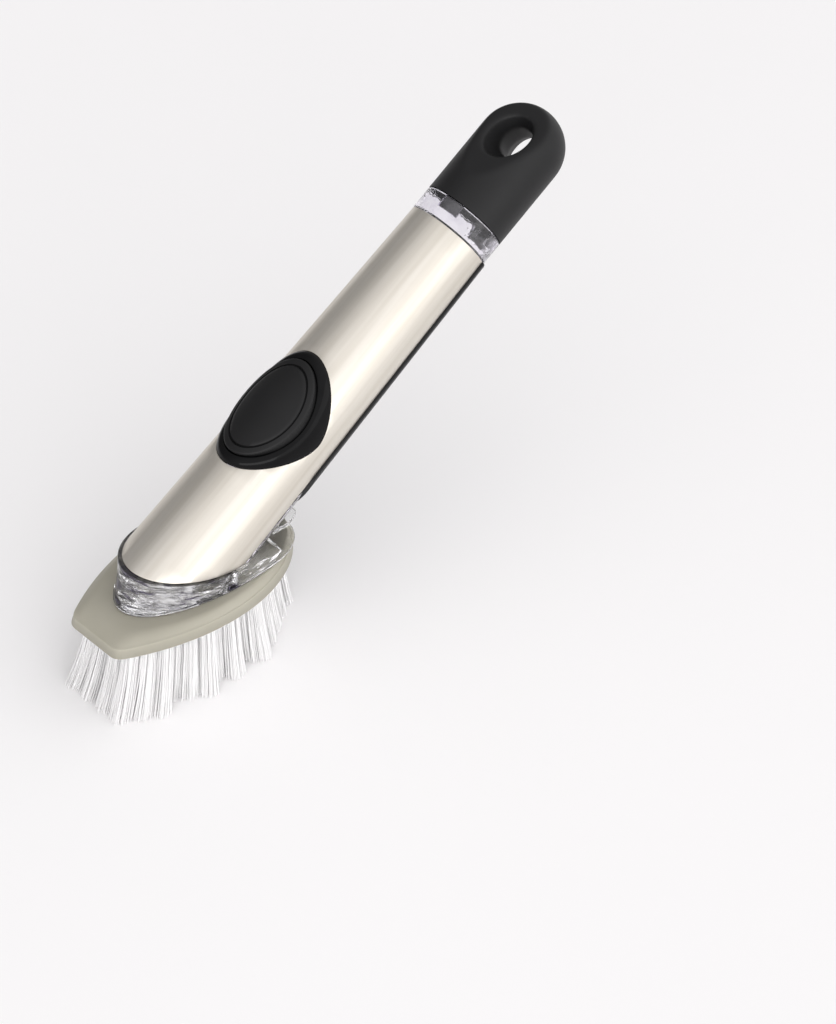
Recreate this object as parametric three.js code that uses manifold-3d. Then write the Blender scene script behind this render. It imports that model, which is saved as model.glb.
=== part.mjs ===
// Dish brush whose tubular handle holds washing-up liquid and pumps it into the bristles.
// Millimetres, +Z up. The toe points to -X and the handle rises towards +X.
import * as THREE from 'three';
import { mergeVertices } from 'three/addons/utils/BufferGeometryUtils.js';
import Module from 'manifold-3d';

const wasm = await Module();
wasm.setup();

// Driving dimensions: general
const gap = 0.3; // between neighbouring pieces
const degree = Math.PI / 180;

// Driving dimensions: brush plate, measured from the toe edge and the top of its rim
const plateLength = 86;
const plateHalfWidth = 25.5;
const plateWidest = 46.5; // from the toe edge to the widest place
const toeHalfWidth = 12;
const toeCorner = 3; // length of the rounded toe corner along the edge
const plateRim = 4; // height of the rim
const plateDraft = 0.9; // by which the rim leans in towards its top
const plateCrown = 2.2; // height of the flat seat above the rim
const seatMargin = 1.2; // of the seat round the foot
const rimWall = 2.2;
const pocketDepth = 2.8; // of the bristle pocket in the underside

// Driving dimensions: bristles
const bristleLength = 29;
const tuftPitch = 6;
const tuftMargin = 4.8; // from the plate's edge to the outermost tufts
const tuftRadius = 1.1; // of a tuft where it leaves the plate
const tuftTipRadius = 1.8;
const tuftRing = 5; // strands round the one in the middle
const strandRadius = 0.45;
const strandRoot = 1; // depth of a strand in its backing
const splay = 0.12;
const splayFromHeel = 18; // from the heel to the place where bristles stand upright

// Driving dimensions: outlet in the middle of the bristles
const outletFromToe = 46;
const spigotRadius = 5;
const spigotBore = 3;
const spigotHeight = 5.6;
const sealWire = 0.65; // radius of the sealing ring's section
const valveFlange = 7;
const valveFlangeHeight = 1.2;
const valveDome = 4.5;
const valveDrop = 5; // of the dome below its flange
const valveWall = 0.9;
const domeHigh = 0.4; // share of the drop where the dome starts to close
const domeLow = 0.9; // share of the drop where it is narrow
const domeNarrow = 0.6; // its radius there, as a share
const slitLength = 4;
const slitWidth = 0.5;
const retainerRadius = 9.2;
const retainerHeight = 2.2;

// Driving dimensions: clear foot
const footFront = 12.8; // from the toe edge
const footWidest = 60;
const footHalfWidth = 20.1;
const footHeelMargin = 2.5; // from the plate's heel
const heelFullness = 0.67; // power that squares the foot's heel, where 1 is an ellipse
const footHeelHeight = 2.6; // of the foot above the seat, under the back of the tube
const footLip = 0.9; // by which the foot stands out past the steel
const footLedge = 1; // by which the foot reaches in past the tube's wall
const collarTilt = 12.5; // degrees by which the foot's top falls towards the heel

// Driving dimensions: release tab at the heel
const tabHalfWidth = 9;
const tabRoot = 11.5; // from the plate's heel to the tab's root
const tabReach = 1.6; // by which the tab stands out past the plate's heel
const tabLift = 1.6; // of the tab's free end
const tabFree = 0.7; // under the tab, so that it can be pressed

// Driving dimensions: handle
const handleRise = 29.4; // degrees between the handle and the plate
const handleFoot = 27.2; // from the toe edge to where the axis meets the rim's plane
const sleeveLength = 160.4;
const sleeveFootRadius = 18.97;
const sleeveTopRadius = 15.48;
const sleeveWall = 0.8;
const sleeveHalfAngle = 107; // degrees of steel each side of the button
const tubeWall = 2;
const spineProud = 0.2; // by which the clear back stands out past the steel
const gripProud = 0.5;
const gripShoulder = 75; // height along the handle where the grip starts to narrow
const gripPoint = 30; // length of its rounded end

// Driving dimensions: button
const buttonHeight = 73.9; // along the handle
const padHalfLength = 19.9;
const padHalfAngle = 53; // degrees, on the tube
const padRise = 3; // above the steel
const padCrown = 22; // radius across the pad
const padBow = 0.9; // drop of the pad's ends
const padEdge = 0.8;
const padSkin = 3.4; // least height of the pad's side
const grooveShare = 0.835; // of the pad's outline
const grooveWidth = 0.03;
const grooveDepth = 0.7;
const padRunning = 0.4; // between the pad and its surround
const surroundHalfAngle = 73.5; // degrees, on the steel
const surroundLength = 3.75; // of the ring at the ends of the oval
const surroundRise = 1.5;
const surroundEdge = 0.2;
const carrierHeight = 3.2;
const carrierInset = 0.6;
const stemRadius = 4;
const diaphragmWall = 0.8;
const diaphragmDepth = 6; // from the carrier to the diaphragm's floor
const flangeHeight = 0.6;
const flangeInset = 0.5;

// Driving dimensions: return spring
const springRadius = 5; // to the middle of the wire
const springWire = 0.6; // radius
const springCurls = 5;
const springSeatRadius = 6.5;
const springSeatHeight = 4; // above the tube's inner wall

// Driving dimensions: cap
const bandHeight = 9;
const bandProud = 0.2; // of the clear band past the steel
const capLength = 46.6;
const capRadius = 15.7;
const capEnd = 15.7; // length of the rounded end
const flatAtHole = 10.6; // from the cap's middle plane to a flat, at the hole
const flatSlope = 14; // degrees between a flat and the axis
const holeFromTip = 17.4;
const holeHalfLength = 6.4;
const holeHalfWidth = 5.4;
const holeFlare = 1.5; // by which the mouths are larger
const throatHalf = 4; // half the length of the straight stretch of the hole
const plugLength = 9;
const ringWire = 1; // radius of the cap's sealing ring
const ringUp = 4.5; // from the plug's end to the ring
const spigotCapRadius = 12;
const spigotCapHeight = 9;
const tongueHalf = 3; // half the thickness of the core's tongue
const tongueHalfWidth = 9.6;
const tongueFromTip = 6.4;

// Facets
const around = 48;
const aroundSmall = 24;
const aroundButton = 36;
const ringSides = 8; // of a sealing ring's section
const springSteps = 8; // a curl
const springSides = 5; // of the wire's section
const cornerSteps = 3; // of the plate's toe corner
const arcSteps = 8; // of a quarter of the plate's outline
const flatSteps = 6; // across a flat of the cap
const sideSteps = 10; // round each side of the cap
const endSteps = 6; // up the cap's rounded end
const gripSteps = 20; // round the grip's point
const tongueSteps = 8; // round the end of the cap's tongue
const endSweep = 86 * degree; // of that end, up to its small tip
const reach = 4 * (sleeveLength + capLength); // of the blocks that cut

// Looks
const steelLook = { color: 0xcbc6bb, roughness: 0.32, metalness: 1 };
const clearLook = { color: 0xe8e9ef, roughness: 0.05, metalness: 0, transparent: true, opacity: 0.4 };
const frostedLook = { color: 0xb3b1a7, roughness: 0.45, metalness: 0 };
const nylonLook = { color: 0xf2f1ef, roughness: 0.5, metalness: 0 };
const softBlackLook = { color: 0x29292b, roughness: 0.6, metalness: 0 };
const glossBlackLook = { color: 0x111113, roughness: 0.12, metalness: 0 };
const siliconeLook = { color: 0xd9dbdd, roughness: 0.5, metalness: 0 };

// Solids: closing, joining and cutting
function shell(points, faces) {
  const geometry = new THREE.BufferGeometry();
  const places = points.flatMap((p) => [p.x, p.y, p.z]);
  geometry.setAttribute('position', new THREE.Float32BufferAttribute(places, 3));
  geometry.setIndex(faces.flat());
  return geometry;
}

// Closed skin through rings of as many points each. A loop joins the last ring to the first,
// and otherwise both ends are closed by fans.
function skin(rings, loop = false) {
  const count = rings[0].length;
  const points = rings.flat();
  const faces = [];
  const spans = loop ? rings.length : rings.length - 1;
  for (let i = 0; i < spans; i += 1) {
    const here = i * count;
    const next = ((i + 1) % rings.length) * count;
    for (let j = 0; j < count; j += 1) {
      const k = (j + 1) % count;
      faces.push([here + j, here + k, next + k]);
      faces.push([here + j, next + k, next + j]);
    }
  }
  if (!loop) {
    for (const [ring, turn] of [[0, 1], [rings.length - 1, -1]]) {
      if (count === 3) {
        const corners = [2, 1, 0].map((corner) => ring * count + corner);
        faces.push(turn > 0 ? corners : corners.reverse());
        continue;
      }
      const middle = new THREE.Vector3();
      rings[ring].forEach((p) => middle.addScaledVector(p, 1 / count));
      const tip = points.push(middle) - 1;
      for (let j = 0; j < count; j += 1) {
        const ends = [ring * count + ((j + 1) % count), ring * count + j];
        faces.push(turn > 0 ? [tip, ...ends] : [tip, ...ends.reverse()]);
      }
    }
  }
  return shell(points, faces);
}

function signedVolume(position, faces) {
  const corners = [new THREE.Vector3(), new THREE.Vector3(), new THREE.Vector3()];
  let volume = 0;
  for (const face of faces) {
    face.forEach((vertex, i) => corners[i].fromBufferAttribute(position, vertex));
    volume += corners[0].dot(corners[1].cross(corners[2])) / 6;
  }
  return volume;
}

function solid(shape) {
  if (shape instanceof wasm.Manifold) {
    return shape;
  }
  const bare = shape.clone();
  bare.deleteAttribute('normal');
  bare.deleteAttribute('uv');
  const welded = mergeVertices(bare);
  const faces = [];
  for (let i = 0; i < welded.index.count; i += 3) {
    const face = [0, 1, 2].map((corner) => welded.index.getX(i + corner));
    if (new Set(face).size === 3) {
      faces.push(face);
    }
  }
  if (signedVolume(welded.attributes.position, faces) < 0) {
    faces.forEach((face) => face.reverse());
  }
  return new wasm.Manifold(new wasm.Mesh({
    numProp: 3,
    vertProperties: new Float32Array(welded.attributes.position.array),
    triVerts: new Uint32Array(faces.flat()),
  }));
}

const join = (...shapes) => shapes.map(solid).reduce((whole, shape) => whole.add(shape));
const cut = (whole, ...tools) => tools.map(solid).reduce((rest, tool) => rest.subtract(tool), solid(whole));
const common = (...shapes) => shapes.map(solid).reduce((whole, shape) => whole.intersect(shape));

function addPart(group, name, shape, look) {
  const mesh = solid(shape).getMesh();
  const geometry = new THREE.BufferGeometry();
  geometry.setAttribute('position', new THREE.BufferAttribute(mesh.vertProperties, 3));
  geometry.setIndex(new THREE.BufferAttribute(mesh.triVerts, 1));
  geometry.computeVertexNormals();
  const part = new THREE.Mesh(geometry, new THREE.MeshStandardMaterial(look));
  part.name = name;
  group.add(part);
  return part;
}

// Forms that several pieces share
function turned(profile, segments = aroundSmall) {
  const line = profile.map(([radius, height]) => new THREE.Vector2(radius, height));
  return new THREE.LatheGeometry(line, segments).rotateX(Math.PI / 2);
}

const cylinder = (radius, low, high, segments = aroundSmall) => turned(
  [[0, low], [radius, low], [radius, high], [0, high]],
  segments,
);

function ringOf(radius, wire, height) {
  return new THREE.TorusGeometry(radius, wire, ringSides, aroundSmall).translate(0, 0, height);
}

// Turned wall between two radii that change along the handle, over some degrees about the axis.
function wall(inner, outer, low, high, from, to, steps) {
  const whole = to - from >= 360;
  const rings = [];
  for (let i = 0; i < (whole ? steps : steps + 1); i += 1) {
    const angle = (from + ((to - from) * i) / steps) * degree;
    const outward = new THREE.Vector3(Math.cos(angle), Math.sin(angle), 0);
    const spot = (radius, z) => outward.clone().multiplyScalar(radius(z)).setZ(z);
    rings.push([spot(outer, low), spot(outer, high), spot(inner, high), spot(inner, low)]);
  }
  return skin(rings, whole);
}

const below = (height) => new THREE.BoxGeometry(reach, reach, reach).translate(0, 0, height - reach / 2);
const above = (height) => new THREE.BoxGeometry(reach, reach, reach).translate(0, 0, height + reach / 2);
const flatRing = (outline, z) => outline.map((p) => new THREE.Vector3(p.x, p.y, z));

// Frames: the head's is level, and in the handle's +X points to the button and +Z along the axis
const brush = new THREE.Group();
const head = new THREE.Group();
const handle = new THREE.Group();
const cap = new THREE.Group();
const button = new THREE.Group();
brush.add(head, handle);
handle.add(cap, button);
handle.position.set(handleFoot, 0, 0);
handle.rotation.set(0, (90 - handleRise) * degree, Math.PI);
handle.updateMatrix();
const intoHandle = handle.matrix.clone().invert();

// Radii along the handle
const taper = (sleeveFootRadius - sleeveTopRadius) / sleeveLength;
const steelRadius = (z) => sleeveFootRadius - taper * z;
const steelBore = (z) => steelRadius(z) - sleeveWall;
const tubeRadius = (z) => steelBore(z) - gap;
const tubeBore = (z) => tubeRadius(z) - tubeWall;
const spineRadius = (z) => steelRadius(z) + spineProud;

// Foot's top plane: it meets the clear back of the tube at the height set for the heel
const rise = handleRise * degree;
const footBottom = plateCrown + gap;
const heelLevel = plateCrown + footHeelHeight;
const heelAlong = (heelLevel + spineRadius(0) * Math.cos(rise)) / (Math.sin(rise) + taper * Math.cos(rise));
const heelX = handleFoot + heelAlong * Math.cos(rise) + spineRadius(heelAlong) * Math.sin(rise);
const collarAt = (x) => heelLevel + (heelX - x) * Math.tan(collarTilt * degree);

function belowCollar(lift) {
  return below(0).rotateY(collarTilt * degree).translate(handleFoot, 0, collarAt(handleFoot) + lift);
}

// Where a cone of the handle crosses the foot's top plane, as a ring in the head's frame
function collarRing(radius, lift) {
  const ring = [];
  const slope = Math.tan(collarTilt * degree);
  for (let i = 0; i < around; i += 1) {
    const angle = (2 * Math.PI * i) / around;
    const start = new THREE.Vector3(radius(0) * Math.cos(angle), radius(0) * Math.sin(angle), 0);
    const end = new THREE.Vector3(radius(1) * Math.cos(angle), radius(1) * Math.sin(angle), 1);
    start.applyMatrix4(handle.matrix);
    end.applyMatrix4(handle.matrix);
    const way = end.sub(start);
    const along = (collarAt(start.x) + lift - start.z) / (way.z + slope * way.x);
    ring.push(start.addScaledVector(way, along));
  }
  return ring;
}

// Brush plate
// Outline seen from above, drawn in by a margin at the sides, the toe and the heel. It is a parabola
// in front of the widest place and half an ellipse behind it.
function plateOutline(margin, toeMargin = margin, heelMargin = margin) {
  const half = plateHalfWidth - margin;
  const toe = toeHalfWidth - margin / 2;
  const front = (plateWidest - toeMargin) / Math.sqrt(1 - toe / half);
  const heel = plateLength - plateWidest - heelMargin;
  const corner = Math.sqrt(1 - toe / half) - toeCorner / front;
  const onFront = (share) => new THREE.Vector2(plateWidest - front * share, half * (1 - share * share));
  const onHeel = (angle) => new THREE.Vector2(plateWidest + heel * Math.sin(angle), half * Math.cos(angle));
  const bend = new THREE.QuadraticBezierCurve(
    new THREE.Vector2(toeMargin, toe - toeCorner),
    new THREE.Vector2(toeMargin, toe),
    onFront(corner),
  );
  const side = bend.getPoints(cornerSteps);
  for (let i = 1; i <= arcSteps; i += 1) {
    side.push(onFront(corner * (1 - i / arcSteps)));
  }
  for (let i = 1; i <= arcSteps; i += 1) {
    side.push(onHeel((Math.PI * i) / (2 * arcSteps)));
  }
  const mirrored = side.slice(0, -1).reverse().map((p) => new THREE.Vector2(p.x, -p.y));
  return [...side, ...mirrored];
}

const pocketTop = pocketDepth - plateRim;
const spigotTop = plateCrown + spigotHeight;
const socketRadius = spigotRadius + 2 * sealWire + 2 * gap;
const socketTop = spigotTop + gap;

function brushPlate() {
  const seat = plateOutline(
    plateHalfWidth - footHalfWidth - seatMargin,
    footFront - seatMargin,
    footHeelMargin - seatMargin,
  );
  const body = skin([
    flatRing(plateOutline(0), -plateRim),
    flatRing(plateOutline(plateDraft), 0),
    flatRing(seat, plateCrown),
  ]);
  const pocket = skin([
    flatRing(plateOutline(rimWall), -2 * plateRim),
    flatRing(plateOutline(rimWall), pocketTop),
  ]);
  const spigot = cylinder(spigotRadius, 0, spigotTop).translate(outletFromToe, 0, 0);
  const bore = cylinder(spigotBore, -reach, reach).translate(outletFromToe, 0, 0);
  return cut(join(body, spigot), pocket, bore);
}

addPart(head, 'brush_plate', brushPlate(), frostedLook);

// Bristles: tufts on a grid of offset rows, each a ring of three-sided strands round one more.
// Strands fan out from the tufts, and tufts from an upright place near the heel.
const rowPitch = tuftPitch * Math.sin(60 * degree);
const midRows = Math.ceil((retainerRadius + gap) / rowPitch); // rows each side that flank the outlet
const tipLevel = -plateRim - bristleLength;
const uprightX = plateLength - splayFromHeel;

function inside(outline, x, y) {
  let within = false;
  outline.forEach((p, i) => {
    const q = outline[(i + 1) % outline.length];
    if (p.y > y !== q.y > y && x < p.x + ((q.x - p.x) * (y - p.y)) / (q.y - p.y)) {
      within = !within;
    }
  });
  return within;
}

function tuftPlaces() {
  const field = plateOutline(tuftMargin);
  const clear = retainerRadius + gap + tuftRadius + strandRadius;
  const rows = Math.ceil(plateLength / rowPitch);
  const columns = Math.ceil(plateHalfWidth / tuftPitch);
  const places = [];
  for (let row = -rows; row <= rows; row += 1) {
    for (let column = -columns; column <= columns; column += 1) {
      const x = outletFromToe + row * rowPitch;
      const y = (column + (row % 2 === 0 ? 0 : 0.5)) * tuftPitch;
      const flanks = Math.abs(row) <= midRows;
      const onSplit = flanks && Math.abs(y) < tuftRadius + strandRadius + gap;
      if (inside(field, x, y) && Math.hypot(x - outletFromToe, y) > clear && !onSplit) {
        places.push({ x, y, row });
      }
    }
  }
  return places;
}

function strand(place, angle, spread) {
  const sway = new THREE.Vector2(Math.cos(angle), Math.sin(angle)).multiplyScalar(spread);
  const root = new THREE.Vector3(place.x + sway.x * tuftRadius, place.y + sway.y * tuftRadius, -plateRim);
  const tip = new THREE.Vector3(
    uprightX + (place.x - uprightX) * (1 + splay) + sway.x * tuftTipRadius,
    place.y * (1 + splay) + sway.y * tuftTipRadius,
    tipLevel,
  );
  const start = root.clone().lerp(tip, -strandRoot / bristleLength);
  const ring = (middle) => [0, 120, 240].map((turn) => new THREE.Vector3(
    middle.x + strandRadius * Math.cos(turn * degree + angle),
    middle.y + strandRadius * Math.sin(turn * degree + angle),
    middle.z,
  ));
  return solid(skin([ring(start), ring(tip)]));
}

function bristles(region, places) {
  const strands = [];
  for (const place of places) {
    strands.push(strand(place, 0, 0));
    for (let i = 0; i < tuftRing; i += 1) {
      strands.push(strand(place, (2 * Math.PI * i) / tuftRing, 1));
    }
  }
  const slice = skin([
    flatRing(plateOutline(rimWall + gap), -plateRim),
    flatRing(plateOutline(rimWall + gap), pocketTop - gap),
  ]);
  const hole = cylinder(retainerRadius + gap, -reach, reach).translate(outletFromToe, 0, 0);
  return join(cut(common(slice, region), hole), wasm.Manifold.compose(strands));
}

const midHalf = (midRows + 0.5) * rowPitch;
const tufts = tuftPlaces();
const boxAt = (lowX, highX, lowY, highY) => new THREE.BoxGeometry(highX - lowX, highY - lowY, reach)
  .translate((lowX + highX) / 2, (lowY + highY) / 2, 0);
const toeSide = outletFromToe - midHalf;
const heelSide = outletFromToe + midHalf;
const regions = {
  bristles_toe: [boxAt(-reach, toeSide - gap / 2, -reach, reach), (p) => p.row < -midRows],
  bristles_heel: [boxAt(heelSide + gap / 2, reach, -reach, reach), (p) => p.row > midRows],
  bristles_left: [
    boxAt(toeSide + gap / 2, heelSide - gap / 2, gap / 2, reach),
    (p) => Math.abs(p.row) <= midRows && p.y > 0,
  ],
  bristles_right: [
    boxAt(toeSide + gap / 2, heelSide - gap / 2, -reach, -gap / 2),
    (p) => Math.abs(p.row) <= midRows && p.y < 0,
  ],
};
for (const [name, [region, belongs]] of Object.entries(regions)) {
  addPart(head, name, bristles(region, tufts.filter(belongs)), nylonLook);
}
console.log('strands', tufts.length * (tuftRing + 1));

// Outlet: a slit valve under the plate, the ring that holds it, and the seal on the spigot
const flangeTop = pocketTop - gap;
const flangeBottom = flangeTop - valveFlangeHeight;

function slitValve() {
  const bowl = turned([
    [0, flangeBottom - valveDrop],
    [valveDome * domeNarrow, flangeBottom - valveDrop * domeLow],
    [valveDome, flangeBottom - valveDrop * domeHigh],
    [valveDome, flangeBottom],
    [valveFlange, flangeBottom],
    [valveFlange, flangeTop],
    [valveDome - valveWall, flangeTop],
    [valveDome - valveWall, flangeBottom - valveDrop * domeHigh],
    [(valveDome - valveWall) * domeNarrow, flangeBottom - valveDrop * domeLow + valveWall],
    [0, flangeBottom - valveDrop + valveWall],
  ]);
  const slit = new THREE.BoxGeometry(slitLength, slitWidth, valveDrop);
  slit.translate(0, 0, flangeBottom - valveDrop);
  return cut(bowl, slit);
}

const retainerTop = flangeBottom - gap;
const retainer = turned([
  [valveDome + gap, retainerTop - retainerHeight],
  [retainerRadius, retainerTop - retainerHeight],
  [retainerRadius, retainerTop],
  [valveDome + gap, retainerTop],
  [valveDome + gap, retainerTop - retainerHeight],
]);
const seal = ringOf(spigotRadius + gap + sealWire, sealWire, (footBottom + socketTop) / 2);
const outletParts = [
  addPart(head, 'slit_valve', slitValve(), siliconeLook),
  addPart(head, 'valve_retainer', retainer, frostedLook),
  addPart(head, 'spout_seal', seal, siliconeLook),
];
outletParts.forEach((part) => part.position.setX(outletFromToe));

// Clear foot: it flares from the sleeve's lower end to the plate, with a funnel down to the spigot
// Its outline is an ellipse in front of the widest place and a squarer curve behind it
function footOutline() {
  const front = footWidest - footFront;
  const heel = plateLength - footHeelMargin - footWidest;
  const bend = (value, power) => Math.sign(value) * Math.abs(value) ** power;
  const outline = [];
  for (let i = 0; i < around; i += 1) {
    const angle = (2 * Math.PI * i) / around;
    const along = -Math.cos(angle);
    const power = along > 0 ? heelFullness : 1;
    const x = footWidest + (along > 0 ? heel : front) * bend(along, power);
    outline.push(new THREE.Vector2(x, -footHalfWidth * bend(Math.sin(angle), power)));
  }
  return outline;
}

const tabRootX = plateLength - tabRoot;

function clearFoot() {
  const lip = (z) => steelRadius(z) + footLip;
  const ledge = (z) => tubeBore(z) - footLedge;
  const body = skin([flatRing(footOutline(), footBottom), collarRing(lip, 0)]);
  const throat = [];
  for (let i = 0; i < around; i += 1) {
    const angle = (2 * Math.PI * i) / around;
    throat.push(new THREE.Vector3(
      outletFromToe - socketRadius * Math.cos(angle),
      -socketRadius * Math.sin(angle),
      socketTop,
    ));
  }
  const funnel = skin([collarRing(ledge, footLip), collarRing(ledge, 0), throat]);
  const socket = cylinder(socketRadius, -reach, socketTop + gap).translate(outletFromToe, 0, 0);
  const tabSlot = boxAt(tabRootX - gap, reach, -tabHalfWidth - gap, tabHalfWidth + gap);
  return cut(body, funnel, socket, tabSlot);
}

addPart(handle, 'clear_foot', solid(clearFoot()).transform(intoHandle.elements), clearLook);

// Release tab: a tongue between the foot's two heel prongs, with its free end turned up
function releaseTab() {
  const low = plateCrown + tabFree;
  const high = heelLevel - gap - tabFree / 2;
  const bendX = plateLength - footHeelMargin;
  const endX = plateLength + tabReach;
  const profile = new THREE.Shape([
    new THREE.Vector2(tabRootX, low),
    new THREE.Vector2(bendX, low),
    new THREE.Vector2(endX, low + tabLift),
    new THREE.Vector2(endX, high + tabLift),
    new THREE.Vector2(bendX - tabLift, high),
    new THREE.Vector2(tabRootX, high),
  ]);
  const depth = 2 * tabHalfWidth;
  const tab = new THREE.ExtrudeGeometry(profile, { depth, bevelEnabled: false });
  return tab.rotateX(Math.PI / 2).translate(0, tabHalfWidth, 0);
}

addPart(brush, 'release_tab', releaseTab(), clearLook);

// Steel sleeve, clear tube and rubber grip
const low = -sleeveFootRadius;
const high = sleeveLength + sleeveTopRadius;
const edgeAngle = sleeveHalfAngle + gap / sleeveTopRadius / degree;
const footBlock = belowCollar(gap).applyMatrix4(intoHandle);

// Oval of the button, seen from its front, as a ring at heights worked out from place
function buttonRing(halfLength, halfWidth, height) {
  const ring = [];
  for (let i = 0; i < aroundButton; i += 1) {
    const angle = (2 * Math.PI * i) / aroundButton;
    const y = halfWidth * Math.sin(angle);
    const z = buttonHeight + halfLength * Math.cos(angle);
    ring.push(new THREE.Vector3(height(y, z), y, z));
  }
  return ring;
}

const level = (x) => () => x;
const onTube = (radius, lift) => (y, z) => Math.sqrt((radius(z) + lift) ** 2 - y * y);
const buttonPrism = (halfLength, halfWidth) => skin([
  buttonRing(halfLength, halfWidth, level(0)),
  buttonRing(halfLength, halfWidth, level(reach)),
]);

const tubeAtButton = tubeRadius(buttonHeight);
const steelAtButton = steelRadius(buttonHeight);
const padHalfWidth = tubeAtButton * Math.sin(padHalfAngle * degree);
const outerLength = padHalfLength + padRunning + surroundLength;
const outerWidth = steelAtButton * Math.sin(surroundHalfAngle * degree);
const cupLength = padHalfLength + padRunning + diaphragmWall;
const cupWidth = padHalfWidth + padRunning + diaphragmWall;

function gripOutline(margin) {
  const halfWidth = sleeveFootRadius + gripProud + margin;
  const outline = new THREE.Shape();
  outline.moveTo(halfWidth, high);
  outline.lineTo(halfWidth, gripShoulder);
  outline.absellipse(0, gripShoulder, halfWidth, gripPoint + margin, 0, Math.PI, true);
  outline.lineTo(-halfWidth, high);
  const settings = { depth: reach, bevelEnabled: false, curveSegments: gripSteps };
  const tongue = new THREE.ExtrudeGeometry(outline, settings);
  return tongue.rotateX(Math.PI / 2).rotateZ(Math.PI / 2).translate(-reach, 0, 0);
}

const sleeve = wall(steelBore, steelRadius, low, high, -sleeveHalfAngle, sleeveHalfAngle, around);
const buttonWindow = buttonPrism(outerLength + gap, outerWidth + gap);
const sleeveCut = cut(sleeve, footBlock, above(sleeveLength), buttonWindow);
addPart(handle, 'steel_sleeve', sleeveCut, steelLook);

function reservoirTube() {
  const core = (z) => tubeRadius(z) - tubeWall / 2;
  const spine = wall(core, spineRadius, low, high, edgeAngle, 360 - edgeAngle, around / 2);
  const pocketFloor = wall(() => gap, (z) => tubeRadius(z), low, high, 0, 360, around);
  const tube = wall(tubeBore, tubeRadius, low, high, 0, 360, around);
  const window = cut(spine, cut(gripOutline(gap), pocketFloor));
  const opening = buttonPrism(cupLength + gap, cupWidth + gap);
  return cut(join(tube, window), footBlock, above(sleeveLength), opening);
}

addPart(handle, 'reservoir_tube', reservoirTube(), clearLook);

const gripWall = wall(
  (z) => tubeRadius(z) + gap,
  (z) => steelRadius(z) + gripProud,
  low,
  high,
  edgeAngle,
  360 - edgeAngle,
  around / 2,
);
addPart(handle, 'back_grip', cut(common(gripWall, gripOutline(0)), above(sleeveLength)), softBlackLook);

// Button: surround, soft pad on a stiff carrier, and the diaphragm that it pushes
const flangeFoot = gap;
const flangeHead = flangeFoot + flangeHeight;
const seatLift = flangeHead + gap;
const ringInnerLength = padHalfLength + padRunning;
const ringInnerWidth = padHalfWidth + padRunning;
const surround = skin([
  buttonRing(outerLength, outerWidth, onTube(tubeRadius, seatLift)),
  buttonRing(outerLength, outerWidth, onTube(steelRadius, surroundEdge)),
  buttonRing(
    (outerLength + ringInnerLength) / 2,
    (outerWidth + ringInnerWidth) / 2,
    onTube(steelRadius, surroundRise),
  ),
  buttonRing(ringInnerLength, ringInnerWidth, onTube(steelRadius, surroundRise - surroundEdge)),
  buttonRing(ringInnerLength, ringInnerWidth, onTube(tubeRadius, seatLift)),
], true);
addPart(handle, 'button_surround', surround, glossBlackLook);

const padTop = (lift) => (y, z) => {
  const across = padCrown - Math.sqrt(padCrown * padCrown - y * y);
  const along = padBow * ((z - buttonHeight) / padHalfLength) ** 2;
  return steelAtButton + padRise + lift - across - along - taper * (z - buttonHeight);
};
const padSideTop = padTop(-padEdge)(padHalfWidth, buttonHeight);
const padBottom = padSideTop - padSkin;

function padRing(share, lift) {
  return buttonRing(padHalfLength * share, padHalfWidth * share, padTop(lift));
}

const pad = skin([
  buttonRing(padHalfLength, padHalfWidth, level(padBottom)),
  padRing(1, -padEdge),
  padRing(1 - padEdge / padHalfLength, 0),
  padRing(grooveShare + grooveWidth, 0),
  padRing(grooveShare + grooveWidth / 2, -grooveDepth),
  padRing(grooveShare, 0),
  padRing(grooveShare / 2, 0),
]);
addPart(button, 'button_pad', pad, softBlackLook);

const carrierTop = padBottom - gap;
const carrierBottom = carrierTop - carrierHeight;
const diaphragmFloor = carrierBottom - diaphragmDepth;
const acrossHandle = (shape) => shape.rotateY(Math.PI / 2).translate(0, 0, buttonHeight);
const carrier = join(
  skin([
    buttonRing(padHalfLength - carrierInset, padHalfWidth - carrierInset, level(carrierBottom)),
    buttonRing(padHalfLength - carrierInset, padHalfWidth - carrierInset, level(carrierTop)),
  ]),
  acrossHandle(cylinder(stemRadius, diaphragmFloor + gap, carrierTop)),
);
addPart(button, 'button_carrier', carrier, glossBlackLook);

const diaphragm = skin([
  buttonRing(cupLength, cupWidth, level(diaphragmFloor - diaphragmWall)),
  buttonRing(cupLength, cupWidth, onTube(tubeRadius, flangeFoot)),
  buttonRing(outerLength - flangeInset, outerWidth - flangeInset, onTube(tubeRadius, flangeFoot)),
  buttonRing(outerLength - flangeInset, outerWidth - flangeInset, onTube(tubeRadius, flangeHead)),
  buttonRing(ringInnerLength, ringInnerWidth, onTube(tubeRadius, flangeHead)),
  buttonRing(ringInnerLength, ringInnerWidth, level(diaphragmFloor)),
]);
addPart(handle, 'pump_diaphragm', diaphragm, siliconeLook);

// Return spring under the diaphragm, on a seat that stands on the tube's inner wall
const seatTop = springSeatHeight - tubeBore(buttonHeight);
const springLow = seatTop + gap + springWire;
const springHigh = diaphragmFloor - diaphragmWall - gap - springWire;

function springRings() {
  const steps = springCurls * springSteps;
  const rings = [];
  for (let i = 0; i <= steps; i += 1) {
    const angle = (2 * Math.PI * i) / springSteps;
    const height = springLow + ((springHigh - springLow) * i) / steps;
    const ring = [];
    for (let j = 0; j < springSides; j += 1) {
      const turn = (2 * Math.PI * j) / springSides;
      const radius = springRadius + springWire * Math.cos(turn);
      ring.push(new THREE.Vector3(
        height + springWire * Math.sin(turn),
        radius * Math.sin(angle),
        buttonHeight + radius * Math.cos(angle),
      ));
    }
    rings.push(ring);
  }
  return rings;
}

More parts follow.
